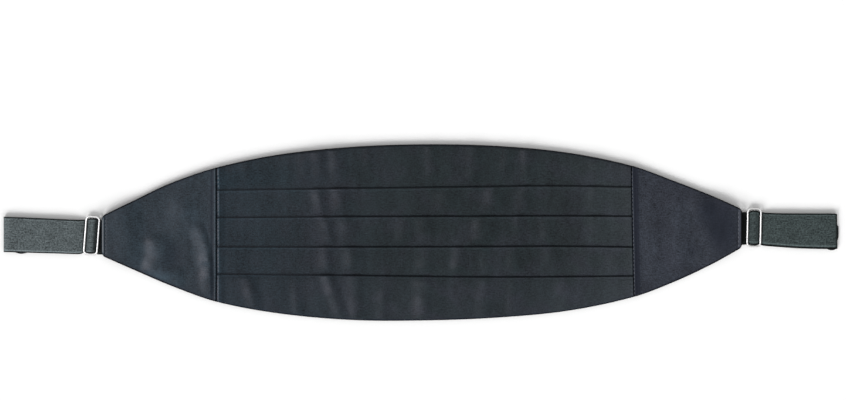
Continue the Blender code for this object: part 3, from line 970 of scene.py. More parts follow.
def front_place(x, knot, left, right):
    """A knot of the section at x, this far from the left and the right seam."""
    puckers = beside(SEWN_LIP, left) + pucker(knot.y, left, LEFT_TURN) + pucker(knot.y, right, RIGHT_TURN)
    seen = min(1.0, max(knot.free, knot.z / HEM_TOP))
    lift = faded(LEFT_COMES_DOWN, left) + faded(RIGHT_COMES_DOWN, right)
    lift += seen * (puckers + PUCKERS.amount * 0.6)
    if knot.free:
        uneven = gentle_waves(x, knot.y) + 0.03 * crumple(x, knot.y, 7.0, 9.0)
        lift += knot.free * (crease_lift(FRONT_CREASES, x, knot.y) + uneven + CLOTH_SLACK)
    # painted shadow in the seams, and painted highlight lines beside them
    edge = max(knot.edge, faded(SEAM_SHADOW_LINE, min(left, right)))
    worn = max(
        knot.worn,
        beside(LIP_HIGHLIGHT, left),
        beside(LOW_SEAM_HIGHLIGHT, left) * ease((LOW_SEAM_HIGHLIGHT_FROM - knot.y) / LOW_SEAM_HIGHLIGHT_OVER),
        beside(RIGHT_SEAM_HIGHLIGHT, right) * ease((RIGHT_SEAM_HIGHLIGHT_FROM - knot.y) / RIGHT_SEAM_HIGHLIGHT_OVER),
    )
    return Place(x, knot.y, knot.z + lift, edge, worn)


def front_panel_places():
    start = SEAM_LEFT + SEAM_HALF_GAP
    end = SEAM_RIGHT - SEAM_HALF_GAP
    rows = []
    for x in seam_columns(start, end):
        lean = SEAM_RIGHT_LEAN * ease((x - start) / (end - start))
        folds = [value_at(FOLDS, column, x) for column in FOLD_NAMES]
        standing = FOLD_STANDS * ease((x - STANDS_FROM) / STANDS_OVER)
        top = value_at(OUTLINE, "top", x)
        section = pleated_section(top, folds, value_at(OUTLINE, "bottom", x), standing)
        places = [front_place(x, knot, x - start, end - x) for knot in section]
        rows.append([place._replace(x=x + lean * place.y) for place in places])
    return rows


front_rows = front_panel_places()
middle_column = min(range(len(front_rows[0])), key=lambda column: abs(front_rows[0][column].y))
front_mesh = laid_mesh("satin_front", front_rows, False, middle_column)
front_panel = add_piece("satin_front", front_mesh, satin)
solidified(front_panel, SATIN_CLOTH)
report(front_panel)

# %% [markdown]
# The sheet's flat size is read off the same points: how long the section is at each place along the front
# when the pleats are opened out.

# %% The flat size of the front
front_opened = [run_lengths([(place.y, place.z) for place in row])[-1] for row in front_rows]

# %% [markdown]
# ## The side panels
#
# A side panel is satin in front and behind, with its edges turned in, so it is a closed, slightly
# crowned form and its edge shows two folded cloths, one on the other.  At the tip it lies on the
# strap's sewn end, held by a row of stitches, which leaves a small roll along the tip.  At the seam its
# allowance runs on under the front.

# %% Shape of a side panel
PANEL_THICK = 2.5
PANEL_CROWN = 0.25
EDGE_ROLL = 0.5             # radius of each of the two folded cloths at the edge
EDGE_SQUEEZE = 4.4          # how many of these radii the edge needs in height
UPPER_ANGLES = (65, 40, 15, -10, -35, -60)      # round the upper folded cloth, in degrees
LOWER_ANGLES = (60, 35, 10, -15, -40, -65)
LOWER_INSET = 0.05
CREVICE = 0.34              # how deep the line between the two is
ACROSS_STEPS = 108
UNDER_STEPS = 14
UNDER_CLEAR = 0.01          # keeps the underside from lying in the table
UNDER_SHADE = 0.3
HIGHLIGHT_INSIDE = 2.5           # no painted highlight at the very edge, and all of it this far inside
TIP_PLACES = (0.0, 0.12, 0.35, 0.7, 1.1, 1.5, 1.9, 2.3, 2.7, 3.1, 3.6, 4.2, 5.0)
SEAM_REACH = 7.0            # lines are close together this far from the seam too
SEAM_LINES = 17
LINE_GAP = 1.2              # and about this far apart between
PANEL_EDGE_SHADE = Fade(1.0, 0.35, 0.6)   # painted shade along its upper and lower edge
SEAM_WALL = Fade(-PANEL_THICK, -0.1, 0.6)   # the cloth turns down into the seam
TIP_LIFT = Fade(1.4, 10.5, 20.0)    # the tip lies on the strap, with a little air
TIP_CORNER = 2.5
TIP_EDGE = 1.1              # length over which the tip's edge rounds to its full thickness
TIP_EDGE_THICK = 0.35       # share of the thickness at the very edge
TIP_STITCHES = 2.7          # from the tip's edge to its row of stitches
TIP_ROLL = Line(0.42, 1.3, 0.7)

# what the eye sees beside a seam, at distances from its line into the panel
# the seam's shade and dark are painted shade beside and in the seam, and its pale line is a painted highlight
Seam = namedtuple("Seam", "x lean lift ridge groove shade dark worn closing turn")
LEFT_SEAM = Seam(
    x=SEAM_LEFT,
    lean=0.0,
    lift=Fade(0.05, 1.4, 6.0),
    ridge=Line(0.13, 1.05, 0.45),
    groove=Line(0.06, 3.2, 0.55),
    shade=Line(0.26, 3.2, 1.1),
    dark=Fade(1.0, 0.05, 0.3),
    worn=Line(0.46, 1.3, 0.27),
    closing=0.35,           # how much nearer the painted highlight line comes towards the lower end
    turn=0.7,
)
RIGHT_SEAM = Seam(
    x=SEAM_RIGHT,
    lean=SEAM_RIGHT_LEAN,
    lift=Fade(0.34, 1.4, 6.0),
    ridge=Line(0.20, 0.75, 0.45),
    groove=Line(0.14, 2.8, 0.55),
    shade=Line(0.58, 2.8, 1.8),
    dark=Fade(1.0, 0.22, 0.3),
    worn=Line(0.26, 0.75, 0.27),
    closing=0.0,
    turn=2.6,
)

# light is a painted highlight along the tip's roll, dark is painted shade at the tip's edge
TipMark = namedtuple("TipMark", "light dark dip")
LEFT_TIP_MARK = TipMark(
    light=Line(2.0, 0.85, 0.44), dark=Fade(1.0, -0.5, 0.4), dip=Line(0.10, TIP_STITCHES, 0.5)
)
RIGHT_TIP_MARK = TipMark(
    light=Line(0.3, 2.0, 0.7), dark=Fade(1.0, 0.9, 0.4), dip=Line(0.30, TIP_STITCHES, 0.5)
)
print("a side panel is", PANEL_THICK, "mm thick, and its tip rests", TIP_LIFT.amount, "mm up")


# %% Section through a side panel
def seam_profile(seam, distance, y):
    """Height of the cloth beside the seam, from the seam line into the panel."""
    puckers = pucker(y, distance, seam.turn) * ease(distance / 0.8)
    return faded(SEAM_WALL, distance) + beside(seam.ridge, distance) - beside(seam.groove, distance) + puckers


def edge_turns(height):
    """Two folded cloths, one on the other, as (inset, z) from the top round to the underside."""
    roll = min(EDGE_ROLL, height / EDGE_SQUEEZE)
    upper = height - roll
    turns = []
    for angle in map(math.radians, UPPER_ANGLES):
        turns.append((roll * (1 - math.cos(angle)), upper + roll * math.sin(angle)))
    turns.append((CREVICE, (upper + roll) / 2))
    for angle in map(math.radians, LOWER_ANGLES):
        turns.append((roll * (1 - math.cos(angle)) + LOWER_INSET, roll + roll * math.sin(angle)))
    return turns


def panel_row(x, lean, bottom, top, squeeze, lift, height_at, shade_at, highlight_at):
    """One closed line round the panel: over the top from the lower edge, and back underneath."""
    width = top - bottom
    over = []
    for step in range(ACROSS_STEPS + 1):
        v = step / ACROSS_STEPS
        y = bottom + EDGE_ROLL + (width - 2 * EDGE_ROLL) * v
        near_edge = min(v, 1 - v) * width
        # painted shade near the upper and lower edge and where shade_at gives it, painted highlight inside
        edge = max(shade_at(y), faded(PANEL_EDGE_SHADE, near_edge))
        worn = highlight_at(y) * ease(near_edge / HIGHLIGHT_INSIDE)
        over.append(Place(x + lean * y, y, lift + height_at(y, v), edge, worn))

    def turned(edge_y, inward, height):
        """The turned-in edge at edge_y, from its top round to the underside."""
        turns = edge_turns(height)
        # full painted shade on the turned-in edge
        return [Place(x + lean * edge_y, edge_y + inward * inset, lift + z, 1.0, 0.0) for inset, z in turns]

    upper_turn = turned(top, -1, over[-1].z - lift)
    lower_turn = turned(bottom, 1, over[0].z - lift)
    under = []
    for y in spread(top - EDGE_ROLL, bottom + EDGE_ROLL, UNDER_STEPS):
        under.append(Place(x + lean * y, y, lift + UNDER_CLEAR, UNDER_SHADE, 0.0))
    row = over + upper_turn + under + list(reversed(lower_turn))
    middle = lift + PANEL_THICK / 2
    return [place._replace(z=middle + (place.z - middle) * squeeze) for place in row]


def panel_stations(length):
    """Distances from the tip: close together at the tip and at the seam."""
    tip_reach = TIP_PLACES[-1]
    near_seam = length - SEAM_REACH
    middle = spread(tip_reach, near_seam, round((near_seam - tip_reach) / LINE_GAP))
    seam = spread(near_seam, length + 0.1, SEAM_LINES)
    return list(TIP_PLACES) + middle[1:] + seam[1:]


# %% [markdown]
# The satin's sheen isn't even, so soft patches of painted shade and of painted highlight lie on it.  They are
# placed from the photograph, as the creases are.

# %% Patches on the side panels
Patch = namedtuple("Patch", "x y across along amount")
RIGHT_SHADE_PATCHES = (
    Patch(216.5, 2.0, 7.5, 13.5, 0.66),
    Patch(208.5, 18.5, 8.5, 6.5, 0.36),
    Patch(195.5, -13.5, 3.5, 4.5, 0.16),
    Patch(206.0, 10.0, 7.0, 8.0, 0.22),
)
LEFT_SHADE_PATCHES = (
    Patch(-177.0, -17.0, 9.0, 10.0, 0.12),
)
RIGHT_HIGHLIGHT_PATCHES = (
    Patch(170.0, 4.0, 18.0, 34.0, 0.05),
    Patch(186.0, -20.0, 12.0, 9.0, 0.09),
)
LEFT_HIGHLIGHT_PATCHES = (
    Patch(-175.0, 14.0, 12.0, 10.0, 0.10),
    Patch(-214.0, 0.0, 9.0, 15.0, 0.05),
    Patch(-190.5, -13.0, 7.0, 9.0, 0.12),
    Patch(-202.5, -16.0, 5.0, 11.0, 0.20),
    Patch(-201.0, 2.0, 5.5, 9.0, 0.10),
    Patch(-165.0, 7.0, 7.0, 10.0, 0.13),
    Patch(-159.0, -1.0, 4.0, 6.0, 0.10),
    Patch(-206.0, 17.0, 7.0, 5.0, 0.12),
    Patch(-191.0, -28.5, 6.0, 3.0, 0.20),
    Patch(-184.0, -31.5, 6.0, 3.0, 0.24),
    Patch(-177.0, -34.5, 6.0, 3.0, 0.16),
    Patch(-157.5, -19.0, 4.5, 8.0, 0.10),
)


def patchiness(patches, x, y):
    """How strongly a place lies inside a list of soft patches: painted shade in one list, painted highlight
    in the other.
    """
    total = 0
    for patch in patches:
        away = ((x - patch.x) / patch.across) ** 2
        total += patch.amount * math.exp(-away - ((y - patch.y) / patch.along) ** 2)
    return total


print(len(LEFT_SHADE_PATCHES + LEFT_HIGHLIGHT_PATCHES), "patches left and", len(RIGHT_SHADE_PATCHES + RIGHT_HIGHLIGHT_PATCHES), "right")

# %% One line round a side panel
PANEL_HELD = 0.06           # share of the width, at each edge, over which creases die away
ALLOWANCE_START = 0.6       # where the allowance is under the front, from the seam line
ALLOWANCE_INSET = 0.45      # how much narrower it is than the front there

# the last two are patches of painted shade and of painted highlight
Side = namedtuple("Side", "tip seam creases tip_mark dulls lights")
LEFT_SIDE = Side(TIP_LEFT, LEFT_SEAM, LEFT_CREASES, LEFT_TIP_MARK, LEFT_SHADE_PATCHES, LEFT_HIGHLIGHT_PATCHES)
RIGHT_SIDE = Side(TIP_RIGHT, RIGHT_SEAM, RIGHT_CREASES, RIGHT_TIP_MARK, RIGHT_SHADE_PATCHES, RIGHT_HIGHLIGHT_PATCHES)


def panel_outline(x, inset):
    return value_at(OUTLINE, "bottom", x) + inset, value_at(OUTLINE, "top", x) - inset


def one_panel_row(side, outward, length, distance):
    """The panel's closed line at a distance from its tip."""
    seam = side.seam
    mark = side.tip_mark
    x = side.tip - outward * distance
    from_seam = length - distance
    corner = 0.0
    if distance < TIP_CORNER:
        corner = TIP_CORNER - math.sqrt(TIP_CORNER**2 - (TIP_CORNER - distance) ** 2)
    lift = faded(TIP_LIFT, distance) + faded(seam.lift, from_seam) * ease(from_seam / 0.4)
    rounded = math.sqrt(max(0.0, 1 - (1 - min(1.0, distance / TIP_EDGE)) ** 2))
    squeeze = TIP_EDGE_THICK + (1 - TIP_EDGE_THICK) * rounded

    def height_at(y, v):
        height = PANEL_THICK + PANEL_CROWN * math.sin(math.pi * v)
        inside = ease(min(v, 1 - v) / PANEL_HELD)
        inside = inside * ease((distance - 3.0) / 8.0) * ease((from_seam - 1.2) / 3.0)
        uneven = gentle_waves(x, y) + 0.05 * crumple(x, y, 6.0, 8.0) + 0.03 * crumple(x, y, 2.8, 3.4)
        height += inside * (crease_lift(side.creases, x, y) + uneven)
        tip_height = beside(TIP_ROLL, distance) - beside(mark.dip, distance)
        height += tip_height + seam_profile(seam, from_seam, y)
        return max(height, ALLOWANCE_TOP)

    # painted shade in and beside the seam, at the tip's edge and in the shade patches
    def shade_at(y):
        in_seam = max(faded(seam.dark, from_seam), beside(seam.shade, from_seam, 4))
        return max(in_seam, faded(mark.dark, distance), patchiness(side.dulls, x, y))

    # painted highlight beside the seam, along the tip's roll and in the highlight patches
    def highlight_at(y):
        line = seam.worn._replace(at=seam.worn.at - seam.closing * ease((10 - y) / 50))
        patches = patchiness(side.lights, x, y) * (1 + crumple(x, y, 5.0, 5.0))
        return beside(line, from_seam) + beside(mark.light, distance) + patches

    bottom, top = panel_outline(x, corner)
    lean = seam.lean * distance / length
    return panel_row(x, lean, bottom, top, squeeze, lift, height_at, shade_at, highlight_at)


def allowance_rows(last, seam, outward):
    """The seam allowance: the panel's last line pressed thin and run on under the front."""
    rows = []
    for beyond in (ALLOWANCE_START, ALLOWANCE * 0.6, ALLOWANCE):
        x = seam.x - outward * beyond
        first = last[0].y
        width = last[ACROSS_STEPS].y - first
        bottom, top = panel_outline(x, ALLOWANCE_INSET)
        row = []
        for place in last:
            y = place.y if rows else bottom + (place.y - first) / width * (top - bottom)
            z = min(place.z, ALLOWANCE_TOP)
            # full painted shade on the allowance under the front
            row.append(place._replace(x=x + seam.lean * place.y, y=y, z=z, edge=1.0))
        rows.append(row)
        last = row
    return rows


# %% The side panels
def side_panel(name, material, side):
    outward = math.copysign(1.0, side.tip - side.seam.x)
    length = abs(side.tip - side.seam.x)
    rows = [one_panel_row(side, outward, length, distance) for distance in panel_stations(length)]
    rows += allowance_rows(rows[-1], side.seam, outward)
    piece = add_piece(name, laid_mesh(name, rows, True, ACROSS_STEPS // 2), material)
    report(piece)
    return piece


panel_left = side_panel("satin_side_left", satin_left, LEFT_SIDE)
panel_right = side_panel("satin_side_right", satin_right, RIGHT_SIDE)

# %% [markdown]
# The flat size of a side panel is that of its face, which is its outline between the tip and the seam.

# %% The flat size of a side panel's face
FaceSize = namedtuple("FaceSize", "length width area")


def face_size(tip, seam_x):
    length = abs(tip - seam_x)
    edges = [panel_outline(x, 0.0) for x in spread(tip, seam_x, 20)]
    widths = [top - bottom for bottom, top in edges]
    return FaceSize(length, max(widths), sum(widths) / len(widths) * length)


left_size = face_size(TIP_LEFT, SEAM_LEFT)
right_size = face_size(TIP_RIGHT, SEAM_RIGHT)
print("side panel faces in mm:", [round(value) for value in left_size[:2] + right_size[:2]])

# %% [markdown]
# ## The straps
#
# Each strap is a length of elastic that is sewn under the tip, dives under the adjuster's inner wire,
# rises over its middle bar, dives under the outer wire, and then lies on its own return run.  At its
# outer end it folds back underneath.  The hidden run is a little askew, so its selvedge shows below
# the upper one.  The elastic is firm, so it keeps its full thickness and has a bead along each side.

# %% Where the straps and the adjusters lie
SEWN_LENGTH = 9.0           # lies under the tip
LOOP_WIDTH = 9.45           # of an adjuster, from wire to wire

# along is the distance outwards from the tip, centre and width are across the strap
Run = namedtuple("Run", "along centre width")
LEFT_RUN = (
    Run(-9.0, -3.3, 24.6),
    Run(2.0, -3.2, 25.0),
    Run(3.6, -2.8, 24.0),
    Run(4.6, -2.45, 24.4),
    Run(6.0, -2.3, 25.1),
    Run(7.6, -2.3, 25.2),
    Run(9.2, -2.3, 25.1),
    Run(10.6, -2.3, 24.1),
    Run(11.6, -2.4, 23.2),
    Run(14.0, -2.9, 24.4),
    Run(18.0, -3.1, 24.75),
    Run(33.0, -2.55, 24.95),
    Run(44.0, -2.15, 25.15),
    Run(55.0, -1.75, 25.35),
    Run(70.9, -1.25, 25.35),
)
LEFT_HIDDEN_RUN = (
    Run(30.8, -2.2, 23.6),
    Run(52.0, -1.9, 24.4),
    Run(56.0, -2.35, 25.2),
    Run(58.5, -2.45, 25.7),
    Run(61.0, -2.1, 25.4),
    Run(64.0, -1.6, 24.6),
    Run(70.9, -1.2, 24.8),
)
RIGHT_RUN = (
    Run(-9.0, 3.05, 23.2),
    Run(2.0, 3.05, 23.6),
    Run(4.8, 3.3, 22.9),
    Run(5.8, 3.3, 23.9),
    Run(7.1, 3.35, 24.7),
    Run(8.7, 3.35, 24.9),
    Run(10.3, 3.35, 24.7),
    Run(11.6, 3.3, 23.9),
    Run(12.8, 3.2, 22.9),
    Run(14.5, 2.8, 23.8),
    Run(18.0, 2.3, 23.95),
    Run(28.0, 1.75, 24.45),
    Run(40.0, 1.3, 25.15),
    Run(55.0, 1.05, 25.55),
    Run(66.9, 0.95, 25.55),
    Run(68.8, 0.8, 24.4),
)
RIGHT_HIDDEN_RUN = (
    Run(30.8, 2.2, 23.0),
    Run(58.0, 1.3, 24.2),
    Run(60.5, 1.2, 24.8),
    Run(62.6, 0.55, 25.9),
    Run(64.4, 0.45, 26.3),
    Run(66.2, 0.5, 26.0),
    Run(67.4, 0.8, 25.4),
    Run(68.8, 1.0, 24.8),
)
Slide = namedtuple("Slide", "x y turn_degrees")
SLIDE_LEFT = Slide(-237.1, -2.1, -4.4)
SLIDE_RIGHT = Slide(239.8, 3.6, -1.3)
left_bar = abs(SLIDE_LEFT.x - TIP_LEFT)
right_bar = abs(SLIDE_RIGHT.x - TIP_RIGHT)
print("the adjusters' bars are", round(left_bar, 1), "and", round(right_bar, 1), "mm from the tips")

# %% A strap's path
ELASTIC_CLOTH = 1.0         # thickness
STRAP_FLOOR = 0.56          # middle of the elastic on the table
STRAP_UPPER = 1.96          # and on its own return run
HUMP = 3.25                 # rise over the adjuster's bar
STRAP_RISE = 6.5            # length over which it comes up onto the hidden run
STRAP_TURN = 0.7            # radius of the outer fold


def strap_path(bar, reach, hidden_end):
    """Middle of a strap as (along, z), from its sewn end to the end of its hidden run."""
    half = LOOP_WIDTH / 2
    path = [(along, STRAP_FLOOR) for along in spread(-SEWN_LENGTH, bar - half - 0.3, 12)]
    for offset in spread(-half, half, 36):
        path.append((bar + offset, STRAP_FLOOR + HUMP * (1 + math.cos(math.pi * offset / half)) / 2))
    for t in spread(0.0, 1.0, 10)[1:]:
        path.append((bar + half + STRAP_RISE * t, STRAP_FLOOR + (STRAP_UPPER - STRAP_FLOOR) * ease(t)))
    turn = reach - STRAP_TURN - ELASTIC_CLOTH / 2
    path += [(along, STRAP_UPPER) for along in spread(bar + half + STRAP_RISE, turn, 48)[1:]]
    path += half_turn(turn, STRAP_FLOOR + STRAP_TURN, STRAP_TURN, 1, 1, 10)
    path += [(along, STRAP_FLOOR) for along in spread(turn, hidden_end, 30)]
    return path


left_path = strap_path(left_bar, LEFT_RUN[-1].along, LEFT_HIDDEN_RUN[0].along)
right_path = strap_path(right_bar, RIGHT_RUN[-1].along, RIGHT_HIDDEN_RUN[0].along)
print("the straps are laid through", len(left_path), "and", len(right_path), "stations")

# %% The straps' sides and ends
BEAD = 0.13                 # how much the firm selvedge stands proud
BEAD_WIDTH = 0.36
UPPER_BEAD_AT = 1.25        # from the elastic's edge; the lower bead's place is in the table below
# share of the painted highlight that the upper bead gets
UPPER_BEAD_LIGHT = 0.3
OVER_BAR = 0.6              # how far inside the wires the elastic counts as lying over the bar
SIDE_PLACES = (0.0, 0.16, 0.4, 0.65, 0.85, 1.05, 1.25, 1.45, 1.7, 2.0, 2.3, 2.7)
INNER_STEPS = 9
END_LENGTH = 20.0           # of a strap that leans with its outer end
LIP_LENGTH = 4.0            # of the hidden run that shows past the right strap's end
LIP_TOP = 5.5
LIP_BOTTOM = -6.5
STRAP_WAVE = 0.06           # the upper run isn't quite flat
WAVE_START = 12.0           # beyond the adjuster's bar

# painted shade where the elastic dives under a wire or is sewn under the tip
INNER_WIRE_SHADE = Fade(0.97, 0.9, 1.0)
OUTER_WIRE_SHADE = Fade(0.95, 1.1, 0.9)
SEWN_SHADE = Fade(0.97, 0.0, 0.8)
# and painted shade at its sides, which turn away from the light
BAR_SIDE_SHADE = Fade(0.95, 0.75, 0.7)
UPPER_SIDE_SHADE = Fade(0.88, 0.85, 0.5)

# lean and lip shape a strap's outer end, dark is painted shade and light a painted highlight near it, flank
# is painted shade inside the bar, and the last two are along the lower side: its painted shade and its bead's
# place
StrapEnd = namedtuple("StrapEnd", "lean lip dark light flank side bead_at")
LEFT_END = StrapEnd(
    lean=0.0,
    lip=0.0,
    dark=Fade(0.0, 0.75, 0.9),
    light=Fade(0.22, 1.0, 6.0),
    flank=Fade(0.75, -2.4, 2.0),
    side=Fade(0.97, 0.7, 0.35),
    bead_at=1.4,
)
RIGHT_END = StrapEnd(
    lean=-0.012,
    lip=0.75,
    dark=Fade(0.9, 0.75, 0.9),
    light=Fade(0.0, 1.0, 6.0),
    flank=Fade(0.0, -2.4, 2.0),
    side=Fade(0.97, 1.1, 0.35),
    bead_at=2.2,
)

Strap = namedtuple("Strap", "tip outward slide run hidden_run end")
LEFT_STRAP = Strap(TIP_LEFT, -1, SLIDE_LEFT, LEFT_RUN, LEFT_HIDDEN_RUN, LEFT_END)
RIGHT_STRAP = Strap(TIP_RIGHT, 1, SLIDE_RIGHT, RIGHT_RUN, RIGHT_HIDDEN_RUN, RIGHT_END)
print("the selvedges' beads stand", BEAD, "mm proud of the elastic")


# %% One line across a strap
def across_strap(centre, half):
    """Places across the elastic, close together at its selvedges."""
    distances = list(SIDE_PLACES) + spread(SIDE_PLACES[-1], half, INNER_STEPS)[1:]
    low = [centre - half + distance for distance in distances]
    high = [centre + half - distance for distance in reversed(distances[:-1])]
    return low + high


def wire_shade(from_bar, flank):
    """How much painted shade the elastic gets by the wires, at a distance outwards from the adjuster's bar.
    """
    half = LOOP_WIDTH / 2
    inner = faded(INNER_WIRE_SHADE, abs(from_bar + half))
    outer = faded(OUTER_WIRE_SHADE, abs(from_bar - half))
    return max(inner, outer, faded(SEWN_SHADE, from_bar + half), faded(flank, from_bar))


def side_shade(from_side, lower, over_bar, lower_side):
    """How much painted shade the elastic gets at a distance from its side."""
    if over_bar:
        return faded(BAR_SIDE_SHADE, from_side)
    return faded(lower_side if lower else UPPER_SIDE_SHADE, from_side)


def strap_row(strap, along, z, hidden_part):
    """The places across a strap at one station of its path."""
    end = strap.end
    slide = strap.slide
    run = strap.hidden_run if hidden_part else strap.run
    centre = value_at(run, "centre", along)
    half = value_at(run, "width", along) / 2
    from_bar = along - abs(slide.x - strap.tip)
    from_end = strap.run[-1].along - along
    slide_lean = -math.tan(math.radians(slide.turn_degrees)) * strap.outward
    near_slide = faded(Fade(1.0, LOOP_WIDTH / 2, STRAP_RISE), abs(from_bar))
    near_end = ease((END_LENGTH - from_end) / END_LENGTH)
    over_bar = abs(from_bar) < LOOP_WIDTH / 2 - OVER_BAR
    wave = 0.0
    if from_bar > WAVE_START and not hidden_part:
        wave = STRAP_WAVE * math.sin(along * 0.21 + 0.8)
    row = []
    for y in across_strap(centre, half):
        from_side = half - abs(y - centre)
        lower = y < centre
        shift = slide_lean * near_slide * (y - slide.y) + end.lean * strap.outward * near_end * (y - centre)
        # painted shade at the sides, by the wires and at the end
        edge = max(
            side_shade(from_side, lower, over_bar, end.side),
            wire_shade(from_bar, end.flank),
            faded(end.dark, from_end),
        )
        if hidden_part:
            lip = ease((LIP_LENGTH - from_end) / LIP_LENGTH)
            shift += end.lip * lip * ease(LIP_TOP - y) * ease((y - LIP_BOTTOM) / 4)
            # painted shade on the hidden run
            edge = max(edge, HIDDEN_SHADE)
        bead = beside(Line(1.0, end.bead_at if lower else UPPER_BEAD_AT, BEAD_WIDTH), from_side)
        # painted highlight on the selvedge's bead and near the strap's end
        selvedge = bead * (1.0 if lower else UPPER_BEAD_LIGHT) + faded(end.light, from_end)
        x = strap.tip + strap.outward * (along + shift)
        row.append(Place(x, y, z + wave + BEAD * bead, edge, selvedge))
    return row


# %% The straps
def along_the_weave(mesh, lengths, rows):
    """Turns the cloth's map so that it follows the strap's path instead of the table."""
    cloth_map = mesh.uv_layers["cloth"]
    count = len(rows[0])
    for loop in mesh.loops:
        row, column = divmod(loop.vertex_index, count)
        cloth_map.data[loop.index].uv = (lengths[row] * MM, rows[row][column].y * MM)


def rounded_edges(piece, width):
    rounding = piece.modifiers.new("rounding", "BEVEL")
    rounding.width = width * MM
    rounding.segments = 3
    rounding.limit_method = "ANGLE"
    rounding.angle_limit = math.radians(60)
    bpy.ops.object.modifier_apply(modifier=rounding.name)


def elastic_strap(name, material, strap, path):
    outermost = max(range(len(path)), key=lambda index: path[index][0])
    rows = [strap_row(strap, along, z, index > outermost) for index, (along, z) in enumerate(path)]
    lengths = run_lengths(path)
    if strap.outward < 0:
        rows.reverse()
        lengths.reverse()
    mesh = laid_mesh(name, rows, False)
    along_the_weave(mesh, lengths, rows)
    piece = add_piece(name, mesh, material)
    solidified(piece, ELASTIC_CLOTH)
    rounded_edges(piece, 0.3)
    report(piece)
    return piece, max(lengths)


strap_left, strap_left_length = elastic_strap("elastic_strap_left", elastic_left, LEFT_STRAP, left_path)
strap_right, strap_right_length = elastic_strap(
    "elastic_strap_right", elastic_right, RIGHT_STRAP, right_path
)
print("elastic cut to", round(strap_left_length), "and", round(strap_right_length), "mm")

# %% [markdown]
# ## The slide adjusters
#
# An adjuster is a loop of plated wire with round corners and a thinner bar across its middle.  It is
# made as a wire worker would: the run of the wire is drawn first, its corners are rounded, and then
# it is given its thickness.  In Blender that is a plane merged to a point and extruded from corner to
# corner, bevelled there, and turned into a curve with a round bevel.

# %% Bent wire
WIRE_RADIUS = 0.72
BAR_RADIUS = 0.6
LOOP_HEIGHT = 26.8
LOOP_CORNER = 2.5
WIRE_HEIGHT = 2.3
CORNER_SEGMENTS = 10
ROUND_STEPS = 5
SAME_POINT = 0.002          # points nearer than this are one
NO_CORNER = 0.01            # corner radius of a straight wire


def draw_run(name, corners, corner_radius, closed):
    """The line that a wire follows: straight pieces with rounded corners, as mesh edges."""
    bpy.ops.object.select_all(action="DESELECT")
    bpy.ops.mesh.primitive_plane_add(size=MM, location=(0, 0, 0))
    run = bpy.context.active_object
    run.name = name
    bpy.ops.object.mode_set(mode="EDIT")
    bpy.ops.mesh.select_all(action="SELECT")
    bpy.ops.mesh.merge(type="CENTER")
    bpy.ops.transform.translate(value=corners[0] * MM)
    for before, after in zip(corners, corners[1:]):
        bpy.ops.mesh.extrude_region_move(TRANSFORM_OT_translate={"value": (after - before) * MM})
    bpy.ops.mesh.select_all(action="SELECT")
    if closed:
        bpy.ops.mesh.edge_face_add()
        bpy.ops.mesh.delete(type="ONLY_FACE")
        bpy.ops.mesh.select_all(action="SELECT")
    else:
        shape = bmesh.from_edit_mesh(run.data)
        for vert in shape.verts:
            vert.select = len(vert.link_edges) > 1
        shape.select_flush_mode()
        bmesh.update_edit_mesh(run.data)
    bpy.ops.mesh.bevel(
        offset=corner_radius * MM, segments=CORNER_SEGMENTS, affect="VERTICES", offset_type="OFFSET"
    )
    bpy.ops.object.mode_set(mode="OBJECT")
    return run


def make_wire(name, corners, corner_radius, closed, radius):
    """Draws a wire's run, gives it its thickness and makes it a mesh again."""
    wire = draw_run(name, corners, corner_radius, closed)
    select_only(wire)
    bpy.ops.object.convert(target="CURVE")
    wire.data.dimensions = "3D"
    wire.data.bevel_depth = radius * MM
    wire.data.bevel_resolution = ROUND_STEPS
    wire.data.use_fill_caps = True
    bpy.ops.object.convert(target="MESH")
    bpy.ops.object.mode_set(mode="EDIT")
    bpy.ops.mesh.select_all(action="SELECT")
    bpy.ops.mesh.remove_doubles(threshold=SAME_POINT * MM)
    bpy.ops.mesh.normals_make_consistent(inside=False)
    bpy.ops.object.mode_set(mode="OBJECT")
    bpy.ops.object.shade_smooth_by_angle(angle=math.radians(40))
    return wire


def place_wire(wire, x, y, z, turn_degrees=0.0):
    """Moves a wire to its place and leaves its object at the origin."""
    wire.location = (x * MM, y * MM, z * MM)
    wire.rotation_euler = (0, 0, math.radians(turn_degrees))
    select_only(wire)
    bpy.ops.object.transform_apply(location=True, rotation=True, scale=True)
    wire.data.materials.clear()
    wire.data.materials.append(plated_wire)
    report(wire)


def rectangle(width, height):
    x = width / 2
    y = height / 2
    return [Vector((-x, -y, 0)), Vector((x, -y, 0)), Vector((x, y, 0)), Vector((-x, y, 0))]


# %% [markdown]
# The loop and the bar are two wires that a Boolean joins into one piece, so that no face is left
# inside where they meet.

# %% The adjusters
def slide_adjuster(name, slide):
    loop = make_wire(name, rectangle(LOOP_WIDTH, LOOP_HEIGHT), LOOP_CORNER, True, WIRE_RADIUS)
    half = Vector((0, LOOP_HEIGHT / 2, 0))
    bar = make_wire(name + "_bar", [-half, Vector((0, 0, 0)), half], NO_CORNER, False, BAR_RADIUS)
    union = loop.modifiers.new("bar", "BOOLEAN")
    union.operation = "UNION"
    union.solver = "EXACT"
    union.object = bar
    select_only(loop)
    bpy.ops.object.modifier_apply(modifier=union.name)
    bpy.data.objects.remove(bar, do_unlink=True)
    place_wire(loop, slide.x, slide.y, WIRE_HEIGHT, slide.turn_degrees)
    return loop


adjuster_left = slide_adjuster("wire_adjuster_left", SLIDE_LEFT)
adjuster_right = slide_adjuster("wire_adjuster_right", SLIDE_RIGHT)

# %% [markdown]
# ## The hook and the eye
#
# The garment closes behind the back with a wire hook on one strap and an eye on the other.  Both lie
# hidden under the straps here, so they are plain: bent from thinner wire in the same way.

